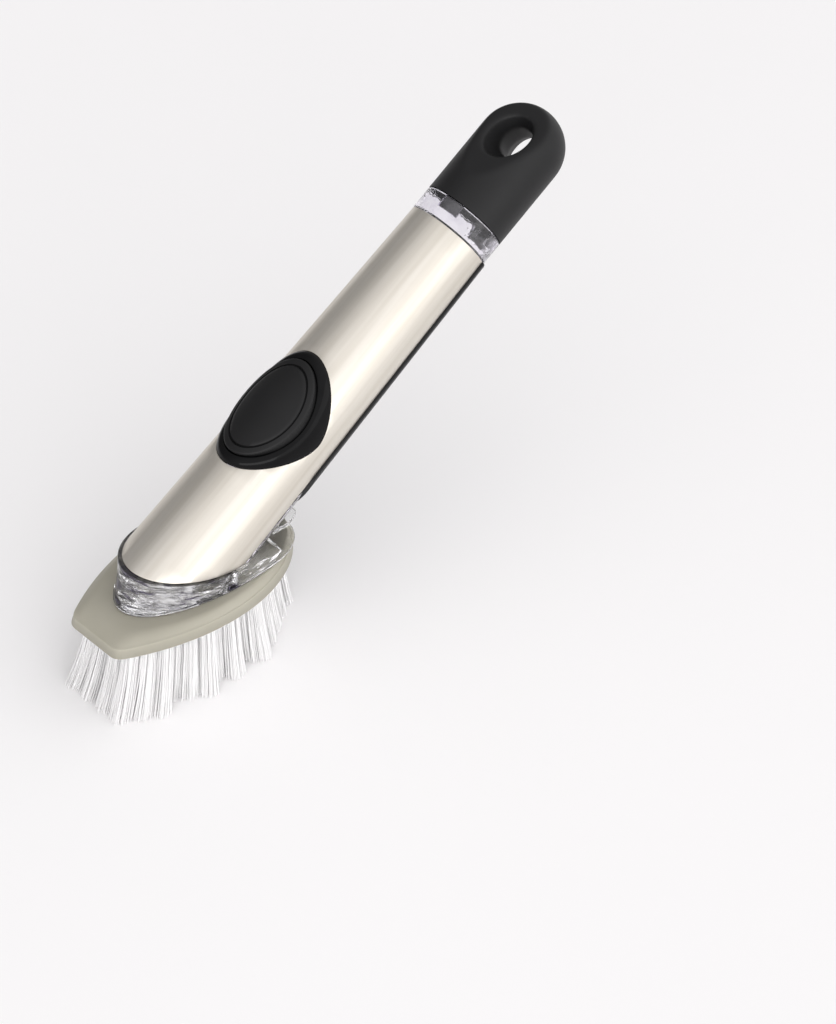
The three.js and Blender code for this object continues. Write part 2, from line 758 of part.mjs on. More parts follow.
const coil = springRings();
let leastGap = Infinity;
for (let i = 0; i + springSteps < coil.length; i += 1) {
  const upper = coil[i + springSteps];
  coil[i].forEach((p) => upper.forEach((q) => {
    leastGap = Math.min(leastGap, p.distanceTo(q));
  }));
}
console.log('least gap between spring curls', leastGap.toFixed(2));
addPart(handle, 'return_spring', skin(coil), steelLook);

const seatPost = acrossHandle(cylinder(springSeatRadius, -tubeRadius(0), seatTop));
const tubeHollow = wall(() => gap / 2, (z) => tubeBore(z) - gap, low, high, 0, 360, around);
const seatCore = acrossHandle(cylinder(gap, -tubeBore(buttonHeight) + gap, seatTop));
addPart(handle, 'spring_seat', join(common(seatPost, tubeHollow), seatCore), clearLook);

// Cap: a black cover with two flats and a hang hole, over a clear core that plugs the tube
const bandLow = sleeveLength + gap;
const bandHigh = sleeveLength + bandHeight;
const capBase = bandHigh + gap;
const capTip = bandHigh + capLength;
const roundStart = capTip - capEnd;
const holeHeight = capTip - holeFromTip;
const flatAt = (z) => flatAtHole - (z - holeHeight) * Math.tan(flatSlope * degree);

function capSection(z) {
  const rounding = Math.max(0, z - roundStart) / capEnd;
  const width = capRadius * Math.sqrt(Math.max(0, 1 - rounding * rounding));
  const half = Math.min(flatAt(z), width);
  const edge = width > 0 ? Math.acos(half / width) : 0;
  const ring = [];
  for (const turn of [0, Math.PI]) {
    for (let i = 0; i <= flatSteps; i += 1) {
      const y = width * Math.sin(edge) * ((2 * i) / flatSteps - 1);
      ring.push(new THREE.Vector3(half * Math.cos(turn), y * Math.cos(turn), z));
    }
    for (let i = 1; i < sideSteps; i += 1) {
      const angle = turn + edge + ((Math.PI - 2 * edge) * i) / sideSteps;
      ring.push(new THREE.Vector3(width * Math.cos(angle), width * Math.sin(angle), z));
    }
  }
  return ring;
}

function capBody() {
  const rings = [];
  const straightSteps = 4;
  for (let i = 0; i < straightSteps; i += 1) {
    rings.push(capSection(sleeveLength + ((roundStart - sleeveLength) * i) / straightSteps));
  }
  for (let i = 0; i <= endSteps; i += 1) {
    const angle = (endSweep * i) / endSteps;
    rings.push(capSection(roundStart + capEnd * Math.sin(angle)));
  }
  return skin(rings);
}

function hangHole(extra) {
  const mouth = flatAtHole + holeFlare;
  const upper = [[throatHalf, 0], [mouth, 1], [2 * mouth, 2]];
  const lower = upper.map(([place, flare]) => [-place, flare]).reverse();
  const stations = [...lower, ...upper];
  return skin(stations.map(([x, flare]) => {
    const ring = [];
    for (let i = 0; i < aroundSmall; i += 1) {
      const angle = (2 * Math.PI * i) / aroundSmall;
      const y = (holeHalfWidth + flare * holeFlare + extra) * Math.sin(angle);
      const z = holeHeight + (holeHalfLength + flare * holeFlare + extra) * Math.cos(angle);
      ring.push(new THREE.Vector3(x, y, z));
    }
    return ring;
  }));
}

// Upper part of the core, which the cover fits over with some room
function coreTop(room) {
  const spigot = cylinder(spigotCapRadius + room, sleeveLength, capBase + spigotCapHeight + room, around);
  const width = tongueHalfWidth + room;
  const end = capTip - tongueFromTip + room;
  const outline = new THREE.Shape();
  outline.moveTo(-width, sleeveLength);
  outline.lineTo(width, sleeveLength);
  outline.lineTo(width, end - width);
  outline.absarc(0, end - width, width, 0, Math.PI, false);
  const depth = 2 * (tongueHalf + room);
  const settings = { depth, bevelEnabled: false, curveSegments: tongueSteps };
  const tongue = new THREE.ExtrudeGeometry(outline, settings);
  tongue.rotateX(Math.PI / 2).rotateZ(Math.PI / 2).translate(-tongueHalf - room, 0, 0);
  return join(spigot, tongue);
}

const cover = cut(capBody(), below(capBase), coreTop(gap), hangHole(0));
addPart(cap, 'cap_cover', cover, softBlackLook);

const bandRadius = sleeveTopRadius + bandProud;
const plugRadius = tubeBore(sleeveLength) - gap;
const plugEnd = sleeveLength - plugLength;
const ringHeight = plugEnd + ringUp;
const grooveFloor = plugRadius - 2 * ringWire - gap;

function capCore() {
  const disc = cylinder(bandRadius, bandLow, bandHigh, around);
  const plug = turned([
    [0, plugEnd],
    [plugRadius, plugEnd],
    [plugRadius, ringHeight - ringWire - gap],
    [grooveFloor, ringHeight - ringWire - gap],
    [grooveFloor, ringHeight + ringWire + gap],
    [plugRadius, ringHeight + ringWire + gap],
    [plugRadius, sleeveLength + bandHeight / 2],
    [0, sleeveLength + bandHeight / 2],
  ], around);
  return cut(join(disc, plug, coreTop(0)), hangHole(0));
}

addPart(cap, 'cap_core', capCore(), clearLook);
addPart(cap, 'cap_o_ring', ringOf(plugRadius - ringWire, ringWire, ringHeight), siliconeLook);

// Origin: under the middle of the whole brush, on the bristle tips
const object = new THREE.Group();
object.add(brush);
const box = new THREE.Box3().setFromObject(object, true);
const middle = box.getCenter(new THREE.Vector3());
brush.position.set(-middle.x, -middle.y, -box.min.z);
console.log('origin shift', brush.position.toArray().map((v) => v.toFixed(3)).join(' '));

export default object;
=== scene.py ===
# Dish brush that pumps washing-up liquid out of its handle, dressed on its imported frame
import math
import random

import bmesh
import bpy
from mathutils import Matrix, Vector


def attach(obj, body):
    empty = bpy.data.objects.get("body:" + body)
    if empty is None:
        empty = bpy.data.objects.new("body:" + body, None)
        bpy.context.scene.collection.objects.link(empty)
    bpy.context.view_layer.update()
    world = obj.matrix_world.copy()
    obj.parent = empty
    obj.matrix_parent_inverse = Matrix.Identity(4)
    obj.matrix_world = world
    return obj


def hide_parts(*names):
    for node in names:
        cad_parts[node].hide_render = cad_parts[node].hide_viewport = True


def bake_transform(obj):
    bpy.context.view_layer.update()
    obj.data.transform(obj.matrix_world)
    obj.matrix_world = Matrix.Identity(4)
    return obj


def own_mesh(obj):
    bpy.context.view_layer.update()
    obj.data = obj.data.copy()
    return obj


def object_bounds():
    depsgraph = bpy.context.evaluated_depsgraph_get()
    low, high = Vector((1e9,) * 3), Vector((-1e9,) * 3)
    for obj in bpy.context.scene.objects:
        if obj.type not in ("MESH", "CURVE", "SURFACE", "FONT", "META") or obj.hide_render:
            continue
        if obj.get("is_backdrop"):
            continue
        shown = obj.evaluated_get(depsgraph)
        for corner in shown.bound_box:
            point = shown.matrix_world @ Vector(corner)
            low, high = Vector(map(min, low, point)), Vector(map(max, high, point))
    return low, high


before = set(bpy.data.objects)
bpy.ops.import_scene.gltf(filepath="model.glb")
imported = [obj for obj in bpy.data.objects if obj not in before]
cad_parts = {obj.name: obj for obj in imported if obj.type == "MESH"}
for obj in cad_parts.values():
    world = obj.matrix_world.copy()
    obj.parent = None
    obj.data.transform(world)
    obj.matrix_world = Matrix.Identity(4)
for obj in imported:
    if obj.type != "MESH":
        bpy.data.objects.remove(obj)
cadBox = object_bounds()
print("frame loaded:", len(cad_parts), "nodes")

# Pieces are modelled in millimetres, in the frame of the head or of the handle, and then set in place
mm = 0.001
layout = {
    "toe": (-108.556, 0, 33),  # toe edge of the plate, at the top of its rim
    "handleFoot": 27.2,  # from the toe edge to where the handle's axis meets the rim
    "handleRise": 29.4,  # degrees
    "collarTilt": 12.5,  # degrees, of the plane where the foot meets the sleeve
    "rim": 4,  # height of the plate's rim
    "gap": 0.3,
}
weld = 0.001  # points nearer than this are one
speck = 0.005  # edges shorter than this go
around = 96  # points round the foot and the cap
gap = layout["gap"]
rise = math.radians(layout["handleRise"])
collarTilt = math.radians(layout["collarTilt"])
alongHandle = Vector((math.cos(rise), 0, math.sin(rise)))
outOfHandle = Vector((-math.sin(rise), 0, math.cos(rise)))
handleAxes = Matrix((outOfHandle, Vector((0, -1, 0)), alongHandle)).transposed()
handleFoot = Vector((layout["handleFoot"], 0, 0))
toHead = Matrix.Translation(Vector(layout["toe"]) * mm) @ Matrix.Scale(mm, 4)
toHandle = toHead @ Matrix.Translation(handleFoot) @ handleAxes.to_4x4()
headToHandle = (Matrix.Translation(handleFoot) @ handleAxes.to_4x4()).inverted()


# Working in object and edit mode
def deselect():
    if bpy.context.mode != "OBJECT":
        bpy.ops.object.mode_set(mode="OBJECT")
    bpy.ops.object.select_all(action="DESELECT")


def pick(piece):
    deselect()
    piece.select_set(True)
    bpy.context.view_layer.objects.active = piece


def editAll(piece):
    pick(piece)
    bpy.ops.object.mode_set(mode="EDIT")
    bpy.ops.mesh.select_mode(type="VERT")
    bpy.ops.mesh.select_all(action="SELECT")


def closeUp(piece):
    editAll(piece)
    bpy.ops.mesh.remove_doubles(threshold=weld)
    bpy.ops.mesh.normals_make_consistent(inside=False)
    bpy.ops.object.mode_set(mode="OBJECT")


def selectRing(piece, chosen):
    bpy.ops.mesh.select_all(action="DESELECT")
    mesh = bmesh.from_edit_mesh(piece.data)
    mesh.verts.ensure_lookup_table()
    for index in chosen:
        mesh.verts[index].select = True
    mesh.select_flush_mode()
    bmesh.update_edit_mesh(piece.data)


# A circle laid on the points of an outline
def drawRing(name, points):
    deselect()
    bpy.ops.mesh.primitive_circle_add(vertices=len(points), fill_type="NOTHING")
    piece = bpy.context.object
    piece.name = name
    for vertex, point in zip(piece.data.vertices, points):
        vertex.co = point
    return piece


def fullTurn(count):
    return [2 * math.pi * i / count for i in range(count)]


def circle(radius, height, count=around, middle=0):
    return [Vector((middle + radius * math.cos(t), radius * math.sin(t), height)) for t in fullTurn(count)]


# The first outline is extruded ring by ring, and each new ring is laid on its own points
def growRings(name, rings, closed=False):
    piece = drawRing(name, rings[0])
    editAll(piece)
    first = list(range(len(rings[0])))
    order = first
    for ring in rings[1:]:
        bpy.ops.mesh.extrude_region()
        mesh = bmesh.from_edit_mesh(piece.data)
        mesh.verts.index_update()
        place = {index: i for i, index in enumerate(order)}
        order = [0] * len(ring)
        for vertex in [v for v in mesh.verts if v.select]:
            roots = [edge.other_vert(vertex) for edge in vertex.link_edges]
            i = next(place[root.index] for root in roots if not root.select)
            vertex.co = ring[i]
            order[i] = vertex.index
        bmesh.update_edit_mesh(piece.data)
    if closed:
        selectRing(piece, first + order)
        bpy.ops.mesh.bridge_edge_loops()
    else:
        for end in (first, order):
            selectRing(piece, end)
            bpy.ops.mesh.edge_face_add()
    closeUp(piece)
    return piece


# A section spun about the handle's axis, from one angle to another
def spinSection(name, section, start, end, steps):
    turn = Matrix.Rotation(start, 3, "Z")
    piece = drawRing(name, [turn @ Vector((radius, 0, height)) for radius, height in section])
    editAll(piece)
    bpy.ops.mesh.spin(steps=steps, angle=start - end, center=(0, 0, 0), axis=(0, 0, 1))
    bpy.ops.mesh.select_all(action="SELECT")
    bpy.ops.mesh.remove_doubles(threshold=weld)
    bpy.ops.mesh.fill_holes(sides=0)
    closeUp(piece)
    return piece


def applied(piece, kind, **settings):
    pick(piece)
    modifier = piece.modifiers.new(kind.lower(), kind)
    for setting, value in settings.items():
        setattr(modifier, setting, value)
    bpy.ops.object.modifier_apply(modifier=modifier.name)


def carve(piece, tool, operation="DIFFERENCE"):
    bpy.context.view_layer.update()
    applied(piece, "BOOLEAN", operation=operation, object=tool, solver="EXACT")
    bpy.data.meshes.remove(tool.data)


def sliceOff(piece, point, normal):
    editAll(piece)
    bpy.ops.mesh.bisect(plane_co=point, plane_no=normal, use_fill=True, clear_inner=True)
    bpy.ops.object.mode_set(mode="OBJECT")


# Points nearer than the reach become one, and faces without area go
def mergeNear(piece, reach):
    editAll(piece)
    bpy.ops.mesh.remove_doubles(threshold=reach)
    bpy.ops.mesh.dissolve_degenerate(threshold=speck)
    bpy.ops.object.mode_set(mode="OBJECT")


# Sharp edges rounded off, once the short edges that a carving leaves are gone
def soften(piece, width, segments=2, angle=40):
    mergeNear(piece, width)
    applied(
        piece, "BEVEL", width=width, segments=segments, use_clamp_overlap=False,
        limit_method="ANGLE", angle_limit=math.radians(angle),
    )
    editAll(piece)
    bpy.ops.mesh.select_face_by_sides(number=4, type="GREATER", extend=False)
    bpy.ops.mesh.quads_convert_to_tris(ngon_method="BEAUTY")
    mergeNear(piece, speck)


def smooth(piece, angle):
    pick(piece)
    bpy.ops.object.shade_smooth_by_angle(angle=math.radians(angle))


def settle(piece, place):
    pick(piece)
    piece.matrix_world = place
    bpy.ops.object.transform_apply(location=True, rotation=True, scale=True)


# The last steps of each modelled piece
def dress(piece, place, body, node, material, angle=35):
    smooth(piece, angle)
    settle(piece, place)
    piece.data.materials.clear()
    piece.data.materials.append(material)
    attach(piece, body)
    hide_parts(node)


# An inner piece: a copy of the CAD node, in metres, with its triangles joined
def mergedCopy(name, node):
    deselect()
    piece = bpy.data.objects.new(name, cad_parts[node].data.copy())
    bpy.context.scene.collection.objects.link(piece)
    editAll(piece)
    bpy.ops.mesh.remove_doubles(threshold=2 * weld * mm)
    bpy.ops.mesh.dissolve_limited(angle_limit=math.radians(0.5))
    bpy.ops.object.mode_set(mode="OBJECT")
    return piece


# Materials
def linear(colour):
    channels = [int(colour[i:i + 2], 16) / 255 for i in (1, 3, 5)]
    return [c / 12.92 if c <= 0.04045 else ((c + 0.055) / 1.055) ** 2.4 for c in channels] + [1]


def addNode(material, kind, settings, **links):
    node = material.node_tree.nodes.new("ShaderNode" + kind)
    for setting, value in settings.items():
        if setting in node.inputs:
            node.inputs[setting].default_value = value
        else:
            setattr(node, setting, value)
    for socket, source in links.items():
        material.node_tree.links.new(source, node.inputs[socket])
    return node


def join(material, output, shader, socket):
    material.node_tree.links.new(output, shader.inputs[socket])


def newMaterial(name, **settings):
    material = bpy.data.materials.new(name)
    material.use_nodes = True
    shader = material.node_tree.nodes["Principled BSDF"]
    for socket, value in settings.items():
        shader.inputs[socket.replace("_", " ")].default_value = value
    return material, shader, addNode(material, "TexCoord", {}).outputs["Object"]


# Noise of a size in mm, the same every way
def evenNoise(material, place, size, detail):
    noise = addNode(material, "TexNoise", {"Scale": 1 / (size * mm), "Detail": detail}, Vector=place)
    return noise.outputs["Fac"]


# Noise of three sizes in mm, along axes that can be turned
def longNoise(material, place, sizes, turn=(0, 0, 0), **settings):
    spread = {"vector_type": "TEXTURE", "Rotation": turn, "Scale": [size * mm for size in sizes]}
    spot = addNode(material, "Mapping", spread, Vector=place)
    noise = addNode(material, "TexNoise", {"Scale": 1, **settings}, Vector=spot.outputs[0])
    return noise.outputs["Fac"]


# A pattern gives two colours, a range of roughness or a relief with a depth in mm
def tint(material, shader, pattern, dark, light, stops=(0, 1)):
    colour = addNode(material, "ValToRGB", {}, Fac=pattern)
    for element, stop, shade in zip(colour.color_ramp.elements, stops, (dark, light)):
        element.position = stop
        element.color = linear(shade)
    join(material, colour.outputs["Color"], shader, "Base Color")
    return colour.outputs["Color"]


def roughen(material, shader, pattern, low, high):
    rough = addNode(material, "MapRange", {"To Min": low, "To Max": high}, Value=pattern)
    join(material, rough.outputs["Result"], shader, "Roughness")


def emboss(material, shader, pattern, strength, depth):
    bump = addNode(material, "Bump", {"Strength": strength, "Distance": depth * mm}, Height=pattern)
    join(material, bump.outputs["Normal"], shader, "Normal")


alongHandleTurn = (0, math.pi / 2 - rise, 0)  # turns a pattern's Z to the handle's axis


# Stainless steel, belt-brushed along the tube: hair lines spread each highlight across the handle
def brushedStainless():
    material, shader, place = newMaterial("brushedStainless", Metallic=1)
    hair = (0.3, 0.3, 40)  # real hair lines are 0.05 mm wide, too fine to show
    lines = longNoise(material, place, hair, alongHandleTurn, Detail=5, Roughness=0.7)
    bands = longNoise(material, place, (3, 3, 120), alongHandleTurn, Detail=2)
    tint(material, shader, bands, "#d3cdc2", "#e2ddd4", (0.3, 0.7))
    roughen(material, shader, lines, 0.34, 0.5)
    emboss(material, shader, lines, 0.25, 0.03)
    return material


# Thermoplastic rubber, moulded on a spark-eroded tool: a dry matt skin with a fine even grain
def softTouchRubber(name, dark, light):
    material, shader, place = newMaterial(name, IOR=1.5, Specular_IOR_Level=0.3)
    grain = evenNoise(material, place, 0.35, 3)  # a real grain is about 0.05 mm, too fine to show
    cloud = evenNoise(material, place, 9, 2)
    tint(material, shader, cloud, dark, light)
    roughen(material, shader, grain, 0.46, 0.58)
    emboss(material, shader, grain, 0.12, 0.03)
    return material


# ABS from a polished tool: deep black with sharp reflections that waver slightly
def polishedAbs():
    material, shader, place = newMaterial("polishedAbs", IOR=1.53, Specular_IOR_Level=0.1)
    wave = evenNoise(material, place, 5, 1)
    scuff = evenNoise(material, place, 1.2, 4)
    tint(material, shader, wave, "#0a0a0b", "#111112")
    roughen(material, shader, scuff, 0.06, 0.16)
    emboss(material, shader, wave, 0.1, 0.05)
    return material


# SAN, injection moulded and clear: bright edges and faint flow lines; dark streaks in its colour along the
# flow lines are painted dark refraction
def clearSan(name, turn, grain, depth, dark, light, paintedLightSpan=None):
    material, shader, place = newMaterial(name, IOR=1.57, Transmission_Weight=0.98)
    flow = longNoise(material, place, grain, turn, Detail=2, Distortion=0.3)
    flowAndPaintedRefraction = flow
    if paintedLightSpan:  # painted light: the painted dark refraction dies out between two places along X, so the tail is lighter
        parts = addNode(material, "SeparateXYZ", {}, Vector=place)
        ends = {"From Min": paintedLightSpan[0] * mm, "From Max": paintedLightSpan[1] * mm, "To Max": 0.5}
        paintedTailLight = addNode(material, "MapRange", ends, Value=parts.outputs["X"])
        paintedTailStreaks = addNode(material, "MapRange", {}, Value=flow, **{"To Min": paintedTailLight.outputs["Result"]})
        flowAndPaintedRefraction = paintedTailStreaks.outputs["Result"]
    # painted dark refraction: the colour runs from the dark stop to the light one along the flow lines
    tint(material, shader, flowAndPaintedRefraction, dark, light, (0.38, 0.52))
    roughen(material, shader, flow, 0.01, 0.06)
    emboss(material, shader, flow, 1, depth)
    return material


# Natural polypropylene with a matt tool: milky, greyish green, soft highlights, with painted shade that
# darkens the side of the rim
def frostedPolypropylene():
    material, shader, place = newMaterial(
        "frostedPolypropylene", IOR=1.49, Transmission_Weight=0.12,
        Subsurface_Weight=0.25, Subsurface_Scale=4 * mm, Subsurface_Radius=(1, 1, 0.9),
    )
    cloud = evenNoise(material, place, 14, 3)
    grain = evenNoise(material, place, 0.5, 2)  # a real grain is about 0.05 mm, too fine to show
    colour = tint(material, shader, cloud, "#a8a495", "#b3afa1")
    parts = addNode(material, "SeparateXYZ", {}, Vector=place)
    # painted shade: the colour darkens from the top of the rim down its side
    rimTop = layout["toe"][2]
    rim = {"From Min": (rimTop - layout["rim"]) * mm, "From Max": rimTop * mm, "To Min": 0.74, "To Max": 1}
    depth = addNode(material, "MapRange", rim, Value=parts.outputs["Z"])
    paintedRimShade = addNode(material, "HueSaturation", {}, Color=colour, Value=depth.outputs["Result"])
    join(material, paintedRimShade.outputs["Color"], shader, "Base Color")
    roughen(material, shader, grain, 0.36, 0.5)
    emboss(material, shader, grain, 0.08, 0.04)
    return material


# Drawn nylon filament: white and slightly see-through, with a silky line of light along each strand
def drawnNylon():
    material, shader, place = newMaterial("drawnNylon", IOR=1.53, Transmission_Weight=0.2)
    few = (1.1, 1.1, 30)  # a few strands wide, as the lines on one strand are too fine to show
    tone = longNoise(material, place, few, Detail=2)
    tint(material, shader, tone, "#fbfafa", "#ffffff")
    roughen(material, shader, tone, 0.35, 0.5)
    return material


# Platinum-cured silicone, moulded: cloudy and rubbery, with a dusty sheen
def mouldedSilicone():
    material, shader, place = newMaterial(
        "mouldedSilicone", IOR=1.43, Transmission_Weight=0.25, Sheen_Weight=0.1,
    )
    cloud = evenNoise(material, place, 4, 3)
    tint(material, shader, cloud, "#d2d4d6", "#e4e6e8")
    roughen(material, shader, cloud, 0.4, 0.6)
    return material


# Stainless spring wire, cold drawn: bright with fine die marks
def drawnWire():
    material, shader, place = newMaterial("drawnWire", Metallic=1)
    marks = evenNoise(material, place, 0.4, 3)  # real die marks are about 0.02 mm, too fine to show
    tint(material, shader, marks, "#b9b8b6", "#d0cfcd")
    roughen(material, shader, marks, 0.2, 0.35)
    return material


steel = brushedStainless()
rubber = softTouchRubber("softTouchRubber", "#111112", "#171718")
# painted shade: the pad is the cap's rubber made darker, for the dimmer light on its upward face
shadedPadRubber = softTouchRubber("blackPadRubberPaintedShade", "#0b0b0c", "#111112")
sealRubber = softTouchRubber("blackSealRubber", "#0c0c0d", "#141415")
gloss = polishedAbs()
clear = clearSan(
    "clearSan", alongHandleTurn, grain=(3.5, 3.5, 5), depth=0.25, dark="#e4e0ec", light="#f3f1f8",
)
collarTurn = (0, collarTilt, 0)  # flow lines of the foot lie with its collar
# painted dark refraction: the deep dark colour streaks the front, and a painted light span along X clears it
# from the tail
clearFoot = clearSan(
    "clearFootSan", collarTurn, grain=(9, 9, 2), depth=0.8, dark="#3d3550", light="#ffffff", paintedLightSpan=(-62, -44),
)
frosted = frostedPolypropylene()
nylon = drawnNylon()
silicone = mouldedSilicone()
wire = drawnWire()
print("materials made:", len(bpy.data.materials))

# Brush plate
plateSizes = {
    "length": 86,
    "halfWidth": 25.5,
    "widest": 46.5,  # from the toe edge
    "toeHalfWidth": 12,
    "toeCorner": 3,
    "rim": layout["rim"],
    "rimEdge": 0.3,
    "draft": 0.9,
    "upperDraft": 0.8,  # at the top of the rim, before its rounding
    "crown": 2.2,
    "swell": 0.25,
    "rimWall": 2.2,
    "pocket": 2.8,
    "rounding": 0.5,
    "seat": (4.2, 11.6, 1.3),  # drawn in at the sides, the toe and the heel
    "outlet": 46,
    "spigot": (5, 3, 5.6),  # radius, bore and height
    "through": 20,  # past both faces of the plate
}
plate = plateSizes
pocketTop = plate["pocket"] - plate["rim"]


def plateOutline(margin, toeMargin=None, heelMargin=None, cornerSteps=6, arcSteps=26):
    toeMargin = margin if toeMargin is None else toeMargin
    heelMargin = margin if heelMargin is None else heelMargin
    half = plate["halfWidth"] - margin
    toe = plate["toeHalfWidth"] - margin / 2
    bow = math.sqrt(1 - toe / half)
    front = (plate["widest"] - toeMargin) / bow
    heel = plate["length"] - plate["widest"] - heelMargin
    corner = bow - plate["toeCorner"] / front
    onFront = lambda share: Vector((plate["widest"] - front * share, half * (1 - share * share)))
    start = Vector((toeMargin, toe - plate["toeCorner"]))
    elbow = Vector((toeMargin, toe))
    end = onFront(corner)
    side = []
    for i in range(cornerSteps + 1):
        t = i / cornerSteps
        side.append(start * (1 - t) ** 2 + elbow * 2 * t * (1 - t) + end * t * t)
    side += [onFront(corner * (1 - i / arcSteps)) for i in range(1, arcSteps + 1)]
    for i in range(1, arcSteps + 1):
        angle = math.pi * i / (2 * arcSteps)
        side.append(Vector((plate["widest"] + heel * math.sin(angle), half * math.cos(angle))))
    return side + [Vector((p.x, -p.y)) for p in reversed(side[:-1])]


def atLevel(outline, height):
    return [Vector((p.x, p.y, height)) for p in outline]


# A round post at the outlet
def roundPost(radius, low, high, count=48):
    return growRings("post", [circle(radius, height, count, plate["outlet"]) for height in (low, high)])


def makePlate():
    edge, rimEdge, rimWall = plate["rounding"], plate["rimEdge"], plate["rimWall"]
    low = -plate["rim"]
    upper = plate["upperDraft"]
    seat = plateOutline(*plate["seat"])
    rings = [
        atLevel(plateOutline(rimWall), pocketTop),
        atLevel(plateOutline(rimWall), low + rimEdge),
        atLevel(plateOutline(rimWall - rimEdge), low),
        atLevel(plateOutline(rimEdge), low),
        atLevel(plateOutline(0), low + rimEdge),
        atLevel(plateOutline(plate["draft"] / 2), low / 2),
    ]
    roundSteps, skirtSteps = 5, 8
    for i in range(roundSteps + 1):  # rounded upper edge of the rim
        angle = math.pi * i / (2 * roundSteps)
        margin = upper + edge * (1 - math.cos(angle))
        rings.append(atLevel(plateOutline(margin), edge * (math.sin(angle) - 1)))
    for i in range(1, skirtSteps + 1):  # skirt that swells up to the seat
        t = i / skirtSteps
        lift = plate["crown"] * (t + plate["swell"] * math.sin(math.pi * t))
        shift = [a.lerp(b, t) for a, b in zip(plateOutline(upper + edge), seat)]
        rings.append(atLevel(shift, lift))
    piece = growRings("frostedPlate", rings)
    radius, bore, height = plate["spigot"]
    carve(piece, roundPost(radius, 0, plate["crown"] + height), "UNION")
    carve(piece, roundPost(bore, -plate["through"], plate["through"]))
    dress(piece, toHead, "head", "brush_plate", frosted, angle=40)


makePlate()
print("plate made")

# Bristles: the same tufts as the frame, each a bundle of fine filaments
bristleSizes = {
    "length": 29,
    "pitch": 6,
    "margin": 4.8,
    "root": 2.9,  # radius of a tuft in the plate
    "tip": 3.9,
    "splay": (0.16, 0.26),  # along the plate and across it
    "uprightFromHeel": 22,
    "outletClear": 11.05,  # from the outlet's middle to the nearest tuft's
    "outletHole": 9.5,  # radius of the hole in the backing
    "split": 0.15,  # from the middle to the left and the right backing
    "splitClear": 1.85,
    "midRows": 2,  # rows each side of the outlet that are split into left and right
    "reach": (17, 5),  # rows and columns that are tried, each way
    "filament": 0.16,  # radius
    "sides": 4,
    "filaments": 165,
    "cuts": 3,
    "cutEnd": 0.7,  # share of the thickness left at the cut end
    "bend": 0.45,
    "stray": 0.35,
    "uneven": (0.05, 0.7),  # least and most that a strand falls short
    "planted": 0.4,  # depth of a strand in the backing
    "seed": 7,
}
tuft = bristleSizes
rowPitch = tuft["pitch"] * math.sin(math.radians(60))
midRows = tuft["midRows"]


def within(outline, x, y):
    crossings = 0
    for p, q in zip(outline, outline[1:] + outline[:1]):
        if (p.y > y) != (q.y > y) and x < p.x + (q.x - p.x) * (y - p.y) / (q.y - p.y):
            crossings += 1
    return crossings % 2 == 1


def tuftPlaces():
    field = plateOutline(tuft["margin"])
    rows, columns = tuft["reach"]
    places = []
    for row in range(-rows, rows + 1):
        for column in range(-columns, columns + 1):
            x = plate["outlet"] + row * rowPitch
            y = (column + (0 if row % 2 == 0 else 0.5)) * tuft["pitch"]
            onSplit = abs(row) <= midRows and abs(y) < tuft["splitClear"]
            overOutlet = math.hypot(x - plate["outlet"], y) <= tuft["outletClear"]
            if within(field, x, y) and not overOutlet and not onSplit:
                places.append((x, y, row))
    return places


def makeFilament():
    deselect()
    bpy.ops.mesh.primitive_cylinder_add(vertices=tuft["sides"], radius=tuft["filament"], depth=tuft["length"])
    filament = bpy.context.object
    filament.name = "filament"
    bpy.ops.object.mode_set(mode="EDIT")
    bpy.ops.mesh.select_all(action="DESELECT")
    mesh = bmesh.from_edit_mesh(filament.data)
    for edge in mesh.edges:  # the edges along the strand
        edge.select = abs(edge.verts[0].co.z - edge.verts[1].co.z) > 1
    bmesh.update_edit_mesh(filament.data)
    bpy.ops.mesh.subdivide(number_cuts=tuft["cuts"])
    bpy.ops.mesh.select_all(action="DESELECT")
    mesh = bmesh.from_edit_mesh(filament.data)
    for vertex in mesh.verts:  # the cut end is a little narrower
        if vertex.co.z < -0.49 * tuft["length"]:
            vertex.co.x *= tuft["cutEnd"]
            vertex.co.y *= tuft["cutEnd"]
    bmesh.update_edit_mesh(filament.data)
    bpy.ops.object.mode_set(mode="OBJECT")
    return filament


def plantTuft(bundle, strand, x, y, chance):
    copy = bpy.data.objects.new("tuft", bundle.data.copy())
    bpy.context.scene.collection.objects.link(copy)
    upright = plate["length"] - tuft["uprightFromHeel"]
    along, across = tuft["splay"]
    bend, stray = tuft["bend"], tuft["stray"]
    tipMiddle = Vector((upright + (x - upright) * (1 + along), y * (1 + across)))
    for i in range(tuft["filaments"]):
        angle = chance.uniform(0, 2 * math.pi)
        reach = math.sqrt(chance.random())
        side = Vector((math.cos(angle), math.sin(angle)))
        root = Vector((x, y)) + side * reach * tuft["root"]
        strayed = Vector((chance.gauss(0, stray), chance.gauss(0, stray)))
        tip = tipMiddle + side * reach * tuft["tip"] + strayed
        low = -plate["rim"] - tuft["length"] + chance.uniform(*tuft["uneven"])
        high = -plate["rim"] + tuft["planted"]
        turn = Matrix.Rotation(chance.uniform(0, math.pi), 2)
        for j, point in enumerate(strand):
            t = 0.5 - point.z / tuft["length"]
            place = root.lerp(tip, (1 - bend) * t + bend * t * t) + turn @ point.xy
            copy.data.vertices[i * len(strand) + j].co = (place.x, place.y, high + (low - high) * t)
    return copy


def makeBacking():
    margin = plate["rimWall"] + gap
    rings = [atLevel(plateOutline(margin), -plate["rim"]), atLevel(plateOutline(margin), pocketTop - gap)]
    piece = growRings("backing", rings)
    carve(piece, roundPost(tuft["outletHole"], -plate["through"], plate["through"]))
    return piece


